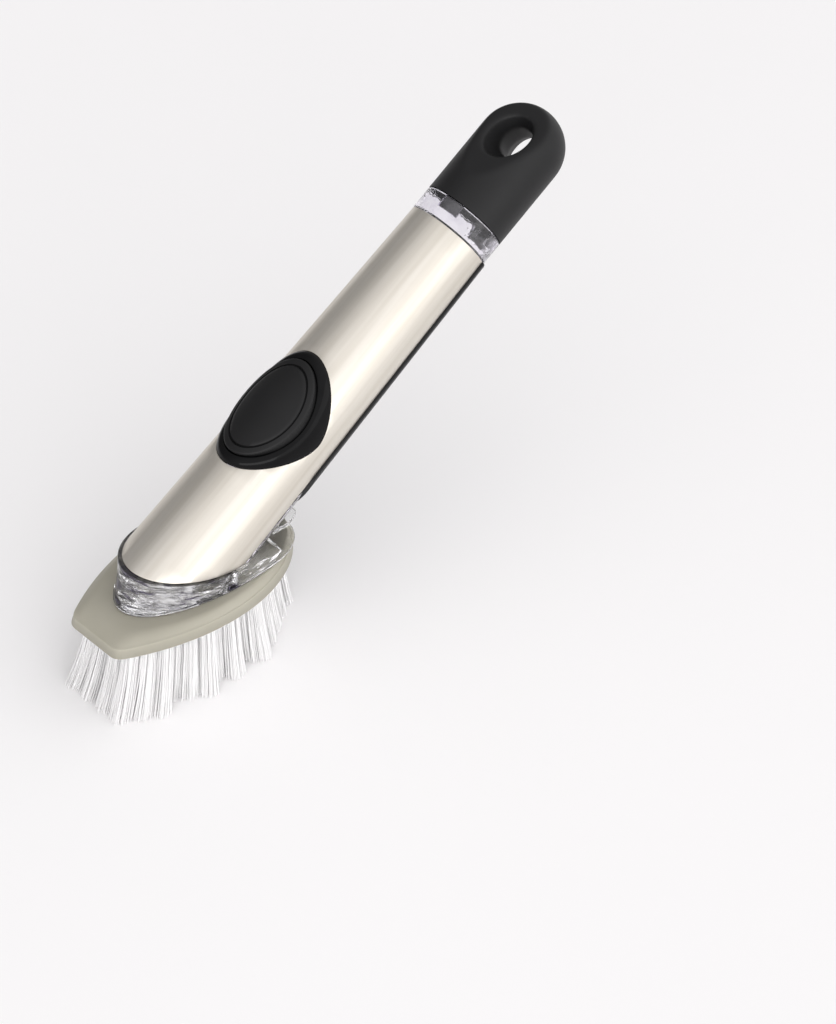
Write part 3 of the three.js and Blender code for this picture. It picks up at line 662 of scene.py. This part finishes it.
def makeBristles():
    chance = random.Random(tuft["seed"])
    bundle = makeFilament()
    strand = [vertex.co.copy() for vertex in bundle.data.vertices]
    applied(bundle, "ARRAY", count=tuft["filaments"])
    backing = makeBacking()
    places = tuftPlaces()
    toeSide = plate["outlet"] - (midRows + 0.5) * rowPitch
    heelSide = plate["outlet"] + (midRows + 0.5) * rowPitch
    split = tuft["split"]
    middle = [((toeSide, 0, 0), (1, 0, 0)), ((heelSide, 0, 0), (-1, 0, 0))]
    inMiddle = lambda row: abs(row) <= midRows
    regions = {
        "toe": (lambda p: p[2] < -midRows, [((toeSide, 0, 0), (-1, 0, 0))]),
        "heel": (lambda p: p[2] > midRows, [((heelSide, 0, 0), (1, 0, 0))]),
        "left": (lambda p: inMiddle(p[2]) and p[1] > 0, middle + [((0, split, 0), (0, 1, 0))]),
        "right": (lambda p: inMiddle(p[2]) and p[1] < 0, middle + [((0, -split, 0), (0, -1, 0))]),
    }
    for region, (belongs, cuts) in regions.items():
        piece = bpy.data.objects.new("nylonBristles." + region, backing.data.copy())
        bpy.context.scene.collection.objects.link(piece)
        for point, normal in cuts:
            sliceOff(piece, point, normal)
        tufts = [plantTuft(bundle, strand, x, y, chance) for x, y, row in filter(belongs, places)]
        pick(piece)
        for planted in tufts:
            planted.select_set(True)
        bpy.ops.object.join()
        dress(piece, toHead, "head", "bristles_" + region, nylon, angle=60)
    bpy.data.meshes.remove(bundle.data)
    bpy.data.meshes.remove(backing.data)
    print("bristles planted:", len(places), "tufts of", tuft["filaments"])


makeBristles()

# Handle: radii along its axis and the plane that the foot's top lies on
handleSizes = {
    "length": 160.4,
    "footRadius": 18.97,
    "topRadius": 15.48,
    "wall": 0.8,
    "halfAngle": 107,
    "steps": 107,  # of the sleeve, one for each 2 degrees
    "edge": 0.12,
    "tubeWall": 2,
    "spine": 0.2,
    "heelHeight": 2.6,
    "beyond": 40,  # further out than any piece of the handle
}
handle = handleSizes
taper = (handle["footRadius"] - handle["topRadius"]) / handle["length"]
heelLevel = plate["crown"] + handle["heelHeight"]


def steelRadius(z):
    return handle["footRadius"] - taper * z


def tubeRadius(z):
    return steelRadius(z) - handle["wall"] - gap


spineFoot = handle["footRadius"] + handle["spine"]
heelAlong = (heelLevel + spineFoot * math.cos(rise)) / (math.sin(rise) + taper * math.cos(rise))
heelX = layout["handleFoot"] + heelAlong * math.cos(rise) + (spineFoot - taper * heelAlong) * math.sin(rise)
collarNormal = Vector((math.sin(collarTilt), 0, math.cos(collarTilt)))
collarPoint = Vector((heelX, 0, heelLevel))


def onCollar(radius, lift, count=around):
    ring = []
    back = headToHandle.inverted()
    for angle in fullTurn(count):
        outward = Vector((math.cos(angle), math.sin(angle), 0))
        start = back @ (outward * radius(0))
        way = back @ (outward * radius(1) + Vector((0, 0, 1))) - start
        raised = collarPoint + Vector((0, 0, lift))
        ring.append(start + way * ((raised - start).dot(collarNormal) / way.dot(collarNormal)))
    return ring


# Oval of the button, at a height worked out from each place on it
buttonSizes = {
    "at": 73.9,  # along the handle
    "padHalfLength": 19.9,
    "padHalfAngle": 53,
    "padRise": 3,
    "padCrown": 22,
    "padBow": 0.9,
    "padEdge": 0.8,
    "padSkin": 3.4,
    "groove": (0.835, 0.03, 0.7),  # share of the outline, width and depth
    "running": 0.4,
    "surroundHalfAngle": 73.5,
    "surroundLength": 3.75,
    "surroundRise": 1.5,
    "surroundEdge": 0.2,
    "surroundSunk": 0.15,
    "surroundCrest": 0.62,  # share of its width where it is highest
    "surroundFullness": 0.8,
    "surroundLip": 0.15,
    "seatLift": 1.2,
    "shoulder": 0.91,  # share of the outline
    "grooveLip": 0.01,
    "grooveFullness": 1.4,
    "topRings": (0.9, 0.75, 0.6, 0.45, 0.3, 0.15, 0.04),  # shares of the groove's own
}
button = buttonSizes
steelAtButton = steelRadius(button["at"])
padHalfWidth = tubeRadius(button["at"]) * math.sin(math.radians(button["padHalfAngle"]))
innerLength = button["padHalfLength"] + button["running"]
innerWidth = padHalfWidth + button["running"]
outerLength = innerLength + button["surroundLength"]
outerWidth = steelAtButton * math.sin(math.radians(button["surroundHalfAngle"]))


def oval(halfLength, halfWidth, height, count=112):
    ring = []
    for angle in fullTurn(count):
        y = halfWidth * math.sin(angle)
        z = button["at"] + halfLength * math.cos(angle)
        ring.append(Vector((height(y, z), y, z)))
    return ring


def onTube(radius, lift):
    return lambda y, z: math.sqrt((radius(z) + lift) ** 2 - y * y)


# Section of a wall along the handle, with rows that keep its faces short
def wallSection(outer, inner, low, high, rows=24):
    levels = [low + (high - low) * i / rows for i in range(rows + 1)]
    return [(outer(z), z) for z in levels] + [(inner(z), z) for z in reversed(levels)]


def makeSleeve():
    bore = lambda z: steelRadius(z) - handle["wall"]
    section = wallSection(steelRadius, bore, -handle["footRadius"], handle["length"])
    half = math.radians(handle["halfAngle"])
    piece = spinSection("steelSleeve", section, -half, half, handle["steps"])
    low = headToHandle @ (collarPoint + Vector((0, 0, gap)))
    sliceOff(piece, low, headToHandle.to_3x3() @ collarNormal)
    seam = gap / 3
    ovals = [oval(outerLength + seam, outerWidth + seam, lambda y, z: x) for x in (0, handle["beyond"])]
    carve(piece, growRings("window", ovals))
    soften(piece, handle["edge"])
    dress(piece, toHandle, "handle", "steel_sleeve", steel)


gripSizes = {
    "proud": 0.9,
    "shoulder": 80,
    "point": 30,
    "edge": 0.3,
    "steps": 60,
    "pointSteps": 48,
    "beyond": (60, 20),  # how far the outline that cuts it goes back and up
}
grip = gripSizes


def makeGrip():
    high = handle["length"]
    edge = math.radians(handle["halfAngle"]) + gap / handle["topRadius"]
    section = wallSection(lambda z: steelRadius(z) + grip["proud"], lambda z: tubeRadius(z) + gap, 0, high)
    piece = spinSection("backGrip", section, edge, 2 * math.pi - edge, grip["steps"])
    half = handle["footRadius"] + grip["proud"]
    back, over = grip["beyond"]
    outline = [(half, high + over)]
    for i in range(grip["pointSteps"] + 1):
        angle = math.pi * i / grip["pointSteps"]
        outline.append((half * math.cos(angle), grip["shoulder"] - grip["point"] * math.sin(angle)))
    outline.append((-half, high + over))
    tongue = growRings("tongue", [[Vector((x, y, z)) for y, z in outline] for x in (-back, 0)])
    carve(piece, tongue, "INTERSECT")
    soften(piece, grip["edge"], segments=3)
    dress(piece, toHandle, "handle", "back_grip", rubber)


makeSleeve()
makeGrip()
print("sleeve and grip made")

# Clear foot
footSizes = {
    "front": 12.8,
    "widest": 60,
    "halfWidth": 20.1,
    "heelMargin": 2.5,
    "heelFullness": 0.67,
    "lip": 0.9,
    "ledge": 1,
    "flange": 1,
    "baseEdge": (0.35, 0.1),  # rounding of the lower edge and the step on its way
    "step": 0.6,
    "flare": 1.25,
    "edge": 0.15,
    "wall": 1.8,
    "hollow": (50, 71.5, 0.78),  # start and end from the toe edge, and share of the wall's height
    "socket": (6.9, 8.1),  # radius and top
    "funnelEnds": (0.05, -5),  # just over the collar's plane, and below the foot
    "tabSlot": (74.5, 9),  # from the toe edge, and half its width
    "slotCut": (40, 60),  # length and height of the block that cuts it
    "skirtSteps": 8,
    "hollowSteps": 6,
}
foot = footSizes


def footOutline(margin=0, count=around):
    front = foot["widest"] - foot["front"] - margin
    heel = plate["length"] - foot["heelMargin"] - foot["widest"] - margin
    outline = []
    for angle in fullTurn(count):
        along, across = -math.cos(angle), math.sin(angle)
        power = foot["heelFullness"] if along > 0 else 1
        x = foot["widest"] + (heel if along > 0 else front) * math.copysign(abs(along) ** power, along)
        y = -(foot["halfWidth"] - margin) * math.copysign(abs(across) ** power, across)
        outline.append(Vector((x, y)))
    return outline


# The wall of the foot, up to a share of its height
def footSkirt(margin, share, steps):
    base = atLevel(footOutline(foot["step"] + margin), plate["crown"] + gap + foot["flange"])
    collar = onCollar(lambda z: steelRadius(z) + foot["lip"] - margin, 0)
    rings = []
    for i in range(steps + 1):
        t = share * i / steps
        inward = 1 - (1 - t) ** foot["flare"]
        ring = [Vector((*a.xy.lerp(b.xy, inward), a.z + (b.z - a.z) * t)) for a, b in zip(base, collar)]
        rings.append(ring)
    return rings


# Funnel from the tube down to the socket for the head's spigot
def footFunnel(room, rim):
    radius, top = foot["socket"]
    lift, below = foot["funnelEnds"]
    ledge = lambda z: tubeRadius(z) - handle["tubeWall"] - foot["ledge"] + room
    # Starts at the toe side, as the collar does
    throat = circle(-radius - room, top - room, around, plate["outlet"])
    return growRings("funnel", [onCollar(ledge, rim), onCollar(ledge, lift), throat, atLevel(throat, below)])


def makeFoot():
    bottom = plate["crown"] + gap
    edge, corner = foot["baseEdge"]
    rings = [
        atLevel(footOutline(edge), bottom),
        atLevel(footOutline(corner), bottom + corner),
        atLevel(footOutline(), bottom + edge),
        atLevel(footOutline(), bottom + foot["flange"]),
    ]
    piece = growRings("clearFoot", rings + footSkirt(0, 1, foot["skirtSteps"]))
    wall = foot["wall"]
    hollowStart, hollowEnd, share = foot["hollow"]
    mouth = atLevel(footOutline(foot["step"] + wall), 0)
    hollow = growRings("hollow", [mouth] + footSkirt(wall, share, foot["hollowSteps"]))
    sliceOff(hollow, (hollowEnd, 0, 0), (-1, 0, 0))
    sliceOff(hollow, (hollowStart, 0, 0), (1, 0, 0))
    carve(hollow, footFunnel(wall, 3 * wall))
    carve(piece, hollow)
    carve(piece, footFunnel(0, foot["lip"]))
    slotStart, slotHalf = foot["tabSlot"]
    length, height = foot["slotCut"]
    middle = (slotStart - gap + length / 2, 0, 0)
    deselect()
    bpy.ops.mesh.primitive_cube_add(size=1, location=middle, scale=(length, 2 * (slotHalf + gap), height))
    carve(piece, bpy.context.object)
    soften(piece, foot["edge"])
    dress(piece, toHead, "handle", "clear_foot", clearFoot)


# Release tab: a tongue between the foot's prongs, its free end turned up
tabSizes = {
    "root": 11.5,  # from the heel edge of the plate
    "halfWidth": 9,
    "endHalfWidth": 6.5,
    "rounded": 3,
    "roundSteps": 8,
    "reach": 1.6,
    "lift": 1.2,
    "free": 0.7,
    "edge": 0.3,
    "spare": 1,  # of the cutting outline, past the tab's sides
    "cutLevels": (-20, 40),
}
tab = tabSizes


def makeTab():
    low = plate["crown"] + tab["free"]
    high = heelLevel - gap - tab["free"] / 2
    root = plate["length"] - tab["root"]
    bend = plate["length"] - foot["heelMargin"]
    end = plate["length"] + tab["reach"]
    profile = [(root, low), (bend, low), (end, low + tab["lift"]), (end, high + tab["lift"]),
               (bend - tab["lift"], high), (root, high)]
    half, narrow = tab["halfWidth"], tab["endHalfWidth"]
    piece = growRings("releaseTab", [[Vector((x, y, z)) for x, z in profile] for y in (-half, half)])
    straight = bend - tab["rounded"]
    spare, steps = tab["spare"], tab["roundSteps"]
    side = [(root - spare, half + spare), (straight - spare, half + spare)]
    for i in range(steps + 1):
        angle = math.pi * i / (2 * steps)
        x = straight + (end - straight) * math.sin(angle)
        side.append((x, narrow + (half - narrow) * math.cos(angle)))
    plan = side + [(x, -y) for x, y in reversed(side)]
    plans = [[Vector((x, y, z)) for x, y in plan] for z in tab["cutLevels"]]
    carve(piece, growRings("plan", plans), "INTERSECT")
    soften(piece, tab["edge"], segments=3, angle=20)
    dress(piece, toHead, "latch", "release_tab", clearFoot)


makeFoot()
makeTab()
print("clear foot and tab made")


# Button: a polished surround and a grooved rubber pad
def makeSurround():
    seat, edge, high = button["seatLift"], button["surroundEdge"], button["surroundRise"]
    crest, low = button["surroundCrest"], button["surroundEdge"] - button["surroundSunk"]
    rings = [oval(outerLength, outerWidth, onTube(tubeRadius, seat - edge))]
    steps, lipSteps = 12, 3
    for i in range(steps):
        t = i / steps
        swell = math.sin(math.pi * min(t / crest, 1) / 2) ** button["surroundFullness"]
        lift = low + (high - low) * swell
        if t > crest:
            lift -= edge * ((t - crest) / (1 - crest)) ** 2
        length = outerLength + (innerLength - outerLength) * t
        width = outerWidth + (innerWidth - outerWidth) * t
        rings.append(oval(length, width, onTube(steelRadius, lift)))
    for i in range(lipSteps + 1):  # rounded inner lip
        angle = math.pi * i / (2 * lipSteps)
        inward = button["surroundLip"] * (1 - math.sin(angle))
        drop = edge + button["surroundLip"] * (1 - math.cos(angle))
        rings.append(oval(innerLength + inward, innerWidth + inward, onTube(steelRadius, high - drop)))
    rings.append(oval(innerLength, innerWidth, onTube(tubeRadius, seat)))
    piece = growRings("buttonSurround", rings, closed=True)
    dress(piece, toHandle, "handle", "button_surround", gloss, angle=45)


def padTop(lift):
    def height(y, z):
        across = button["padCrown"] - math.sqrt(button["padCrown"] ** 2 - y * y)
        along = button["padBow"] * ((z - button["at"]) / button["padHalfLength"]) ** 2
        return steelAtButton + button["padRise"] + lift - across - along - taper * (z - button["at"])
    return height


padBottom = padTop(-button["padEdge"])(padHalfWidth, button["at"]) - button["padSkin"]


def makePad():
    length, edge = button["padHalfLength"], button["padEdge"]
    share, width, depth = button["groove"]
    padRing = lambda part, lift: oval(length * part, padHalfWidth * part, padTop(lift))
    rings = [oval(length, padHalfWidth, lambda y, z: padBottom)]
    roundSteps, grooveSteps = 6, 10
    for i in range(roundSteps + 1):  # rounded shoulder
        angle = math.pi * i / (2 * roundSteps)
        rings.append(padRing(1 - (1 - math.cos(angle)) * edge / length, edge * (math.sin(angle) - 1)))
    rings.append(padRing(button["shoulder"], 0))
    for i in range(grooveSteps + 1):  # ring groove with a round floor
        t = i / grooveSteps
        part = share + width * (1 - t) + button["grooveLip"] * (1 - 2 * t)
        rings.append(padRing(part, -depth * math.sin(math.pi * t) ** button["grooveFullness"]))
    rings += [padRing(share * part, 0) for part in button["topRings"]]
    piece = growRings("buttonPad", rings)
    dress(piece, toHandle, "button", "button_pad", shadedPadRubber, angle=50)


makeSurround()
makePad()
print("button made")

# Cap: a soft cover with two flats and a hang hole, over a clear core that plugs the tube
capSizes = {
    "base": 169.7,
    "below": 160,  # the cover is grown from here and cut off at its base
    "tip": 216,
    "radius": 15.7,
    "end": 15.7,
    "endAngle": 88,  # degrees, where the rounded end is closed
    "flatBlock": 80,
    "flatAtHole": 10.6,
    "flatSlope": 14,
    "holeAt": 200.2,
    "hole": (6.2, 5.8),  # half its length and width
    "flare": (3.6, 2.2),
    "throat": 4,
    "lining": 1.2,
    "holeSteps": 64,
    "voxel": 0.4,
    "softening": 50,
    "band": (160.7, 169.4, 15.68),  # lower end, upper end and radius
    "plug": (151.4, 12.08),
    "ringGroove": (154.6, 157.2, 9.78),
    "spigot": (12, 178.7),
    "chamfers": (0.5, 0.3, 0.4),  # of the plug, the band and the spigot
    "key": (12.8, 13.8, 165),  # inner and outer radius, and its lower end
    "keyRoot": 1,  # how far a key reaches into the cover
    "keys": 4,
    "keyTurns": (10, 30),  # middle of the first key and how far each spans, in degrees
    "keySteps": 12,
    "tongue": (3, 9.6, 209.6),  # half its thickness and width, and its end
    "tongueFoot": 165,
    "tongueSteps": 32,
}
cap = capSizes


def hangHole(room):
    mouth, throat = cap["flatAtHole"], cap["throat"]
    turns = fullTurn(cap["holeSteps"])
    rings = []
    for x, flare in ((-2 * mouth, 2), (-mouth, 1), (-throat, 0), (throat, 0), (mouth, 1), (2 * mouth, 2)):
        length, width = (half + room + flare * wider for half, wider in zip(cap["hole"], cap["flare"]))
        rings.append([Vector((x, width * math.sin(t), cap["holeAt"] + length * math.cos(t))) for t in turns])
    return growRings("hangHole", rings)


# Keys of the cover that reach down into pockets of the clear band
def coverKeys(room):
    inner, outer = cap["key"][0] - room, cap["key"][1] + room
    low = cap["key"][2] - room
    high = cap["base"] + cap["keyRoot"]
    section = [(inner, low), (outer, low), (outer, high), (inner, high)]
    start, turn = cap["keyTurns"]
    for i in range(cap["keys"]):
        middle = math.radians(start + 360 / cap["keys"] * i)
        half = math.radians(turn / 2) + room / outer
        yield spinSection("key", section, middle - half, middle + half, cap["keySteps"])


def coreTongue(room):
    thick, wide, end = (size + room for size in cap["tongue"])
    outline = [(-wide, cap["tongueFoot"]), (wide, cap["tongueFoot"])]
    for i in range(cap["tongueSteps"] + 1):
        angle = math.pi * i / cap["tongueSteps"]
        outline.append((wide * math.cos(angle), end - wide + wide * math.sin(angle)))
    return growRings("tongue", [[Vector((x, y, z)) for y, z in outline] for x in (-thick, thick)])


def makeCapCover():
    start = cap["tip"] - cap["end"]
    below, block = cap["below"], cap["flatBlock"]
    sideSteps, endSteps = 10, 16
    rings = [circle(cap["radius"], below + (start - below) * i / sideSteps) for i in range(sideSteps)]
    for i in range(endSteps + 1):
        angle = math.radians(cap["endAngle"]) * i / endSteps
        rings.append(circle(cap["radius"] * math.cos(angle), start + cap["end"] * math.sin(angle)))
    piece = growRings("capCover", rings)
    slope = math.radians(cap["flatSlope"])
    for turn, side in ((-slope, 1), (math.pi + slope, -1)):
        outward = Vector((side * math.cos(slope), 0, math.sin(slope)))
        middle = Vector((side * cap["flatAtHole"], 0, cap["holeAt"])) + outward * block / 2
        deselect()
        bpy.ops.mesh.primitive_cube_add(size=block, location=middle, rotation=(0, turn, 0))
        carve(piece, bpy.context.object)
    carve(piece, hangHole(0))
    applied(piece, "REMESH", mode="VOXEL", voxel_size=cap["voxel"])
    applied(piece, "SMOOTH", factor=0.5, iterations=cap["softening"])
    sliceOff(piece, (0, 0, cap["base"]), (0, 0, 1))
    radius, top = cap["spigot"]
    carve(piece, growRings("spigot", [circle(radius + gap, below), circle(radius + gap, top + gap)]))
    pocket = coreTongue(gap)
    carve(pocket, hangHole(cap["lining"]))
    carve(piece, pocket)
    for key in coverKeys(0):
        carve(piece, key, "UNION")
    dress(piece, toHandle, "cap", "cap_cover", rubber, angle=45)


def makeCapCore():
    low, high, wide = cap["band"]
    end, plug = cap["plug"]
    grooveLow, grooveHigh, grooveFloor = cap["ringGroove"]
    radius, top = cap["spigot"]
    plugEdge, bandEdge, spigotEdge = cap["chamfers"]
    profile = [
        (plug - plugEdge, end), (plug, end + plugEdge), (plug, grooveLow),
        (grooveFloor, grooveLow), (grooveFloor, grooveHigh), (plug, grooveHigh),
        (plug, low), (wide - bandEdge, low), (wide, low + bandEdge),
        (wide, high - bandEdge), (wide - bandEdge, high), (radius, high),
        (radius, top - spigotEdge), (radius - spigotEdge, top),
    ]
    piece = growRings("capCore", [circle(r, z) for r, z in profile])
    carve(piece, coreTongue(0), "UNION")
    carve(piece, hangHole(cap["lining"] + gap))
    for key in coverKeys(gap):
        carve(piece, key)
    dress(piece, toHandle, "cap", "cap_core", clear, angle=30)


makeCapCover()
makeCapCore()
print("cap made")

# Return spring: a wire screwed up under the button
springSizes = {
    "radius": 5,
    "wire": 0.6,
    "wireSides": 10,
    "curls": 5,
    "curlSteps": 32,
    "low": -9.362,  # out from the handle's axis
    "high": 0.719,
    "press": 4,
}
spring = springSizes


def makeSpring():
    wireRadius, steps = spring["wire"], spring["curlSteps"]
    section = []
    for angle in fullTurn(spring["wireSides"]):
        x = spring["radius"] + wireRadius * math.cos(angle)
        section.append(Vector((x, 0, wireRadius * math.sin(angle))))
    piece = drawRing("returnSpring", section)
    pitch = (spring["high"] - spring["low"]) / spring["curls"]
    turns = {"angle": 2 * math.pi, "screw_offset": pitch, "iterations": spring["curls"]}
    applied(piece, "SCREW", steps=steps, render_steps=steps, **turns)
    editAll(piece)
    bpy.ops.mesh.remove_doubles(threshold=weld)
    bpy.ops.mesh.fill_holes(sides=0)
    closeUp(piece)
    lowEnd = Matrix.Translation((spring["low"], 0, button["at"]))
    place = toHandle @ lowEnd @ Matrix.Rotation(math.pi / 2, 4, "Y")
    dress(piece, place, "handle", "return_spring", wire, angle=60)
    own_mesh(piece)


makeSpring()

# Inner pieces keep the frame's shapes, joined up and smoothed
innerPieces = {
    "reservoir": ("reservoir_tube", "handle", "clear", clear),
    "buttonCarrier": ("button_carrier", "button", "gloss_black", gloss),
    "pumpDiaphragm": ("pump_diaphragm", "handle", "silicone", sealRubber),
    "springSeat": ("spring_seat", "handle", "clear", clear),
    "capRing": ("cap_o_ring", "cap", "silicone", sealRubber),
    "spoutRing": ("spout_seal", "head", "silicone", sealRubber),
    "slitValve": ("slit_valve", "head", "silicone", silicone),
    "valveRetainer": ("valve_retainer", "head", "frosted", frosted),
}
diaphragmReach = {"flange": 16.5, "floor": 2.4}  # out from the handle's axis
for name, (node, body, slot, material) in innerPieces.items():
    piece = mergedCopy(name, node)
    if node in ("cap_o_ring", "spout_seal"):
        applied(piece, "SUBSURF", levels=1, render_levels=1)
    smooth(piece, 30)
    piece.data.materials.clear()
    piece.data.materials.append(material)
    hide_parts(node)
    if node == "pump_diaphragm":  # its flange sits in the handle and its floor under the button; the piece is left in place, on no body
        ends = [toHandle @ Vector((diaphragmReach[end], 0, button["at"])) for end in ("flange", "floor")]
        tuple(ends[0])
        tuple(ends[1])
        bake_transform(piece)
    else:
        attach(piece, body)
print("inner pieces made:", len(innerPieces))

# Floor, light and camera
floorSizes = {"side": 80000, "cloud": 300}
deselect()
bpy.ops.mesh.primitive_plane_add(size=floorSizes["side"] * mm)
floor = bpy.context.object
floor.name = "floor"
# Uncoated paper: flat and pale, with a faint cloud of tone
paper, paperShader, paperPlace = newMaterial("palePaper", Roughness=0.9, Specular_IOR_Level=0.1)
tint(paper, paperShader, evenNoise(paper, paperPlace, floorSizes["cloud"], 2), "#f5f4f4", "#f9f8f8")
floor.data.materials.append(paper)
floor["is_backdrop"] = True

# The room's light is brightest in front, towards -Y
studioLight = {"front": 1.22, "back": 0.28, "turn": (-0.35, 1.05), "colour": "#fbfafb"}
world = bpy.data.worlds.new("studio")
bpy.context.scene.world = world
world.use_nodes = True
backdrop = world.node_tree.nodes["Background"]
backdrop.inputs["Color"].default_value = linear(studioLight["colour"])
way = addNode(world, "TexCoord", {})
wayParts = addNode(world, "SeparateXYZ", {}, Vector=way.outputs["Generated"])
fromFront = {
    "interpolation_type": "SMOOTHSTEP",
    "From Min": studioLight["turn"][0],
    "From Max": studioLight["turn"][1],
    "To Min": studioLight["front"],
    "To Max": studioLight["back"],
}
falloff = addNode(world, "MapRange", fromFront, Value=wayParts.outputs["Y"])
join(world, falloff.outputs["Result"], backdrop, "Strength")

lampSizes = {
    "window": {"at": (0.8, -2.5, 0.8), "size": (3, 1.4), "watts": 10},
    "fill": {"at": (-1.8, -2, 0.6), "size": (3, 1), "watts": 29},
}
for name, lamp in lampSizes.items():
    deselect()
    bpy.ops.object.light_add(type="AREA", location=lamp["at"])
    light = bpy.context.object
    light.name = name
    light.data.shape = "RECTANGLE"
    light.data.size, light.data.size_y = lamp["size"]
    light.data.energy = lamp["watts"]
    light.rotation_euler = (-Vector(lamp["at"])).to_track_quat("-Z", "Y").to_euler()

cameraSizes = {
    "at": (-711.106, -782.571, 1039.128),
    "right": (0.7211311, -0.6927935, 0.0026777),
    "up": (0.4798692, 0.5022778, 0.7193348),
    "towards": (-0.4996954, -0.5174498, 0.6946584),
    "lens": 146.09,
    "sensor": 36,
    "clipEnd": 50,  # metres
}
deselect()
bpy.ops.object.camera_add()
camera = bpy.context.object
camera.name = "camera"
camera.data.lens = cameraSizes["lens"]
camera.data.sensor_width = cameraSizes["sensor"]
camera.data.clip_end = cameraSizes["clipEnd"]
turn = Matrix([cameraSizes[axis] for axis in ("right", "up", "towards")]).transposed()
camera.matrix_world = Matrix.Translation(Vector(cameraSizes["at"]) * mm) @ turn.to_4x4()
bpy.context.scene.camera = camera
bpy.context.scene.view_settings.view_transform = "Standard"
bpy.context.scene.cycles.max_bounces = 24
bpy.context.scene.cycles.diffuse_bounces = 12  # light goes from strand to strand many times
bpy.context.scene.cycles.glossy_bounces = 16  # and turns back many times inside the clear mouldings
print("stage set")

sizes = {"cad": cadBox, "visual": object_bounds()}
{name: [[float(v) for v in corner] for corner in corners] for name, corners in sizes.items()}
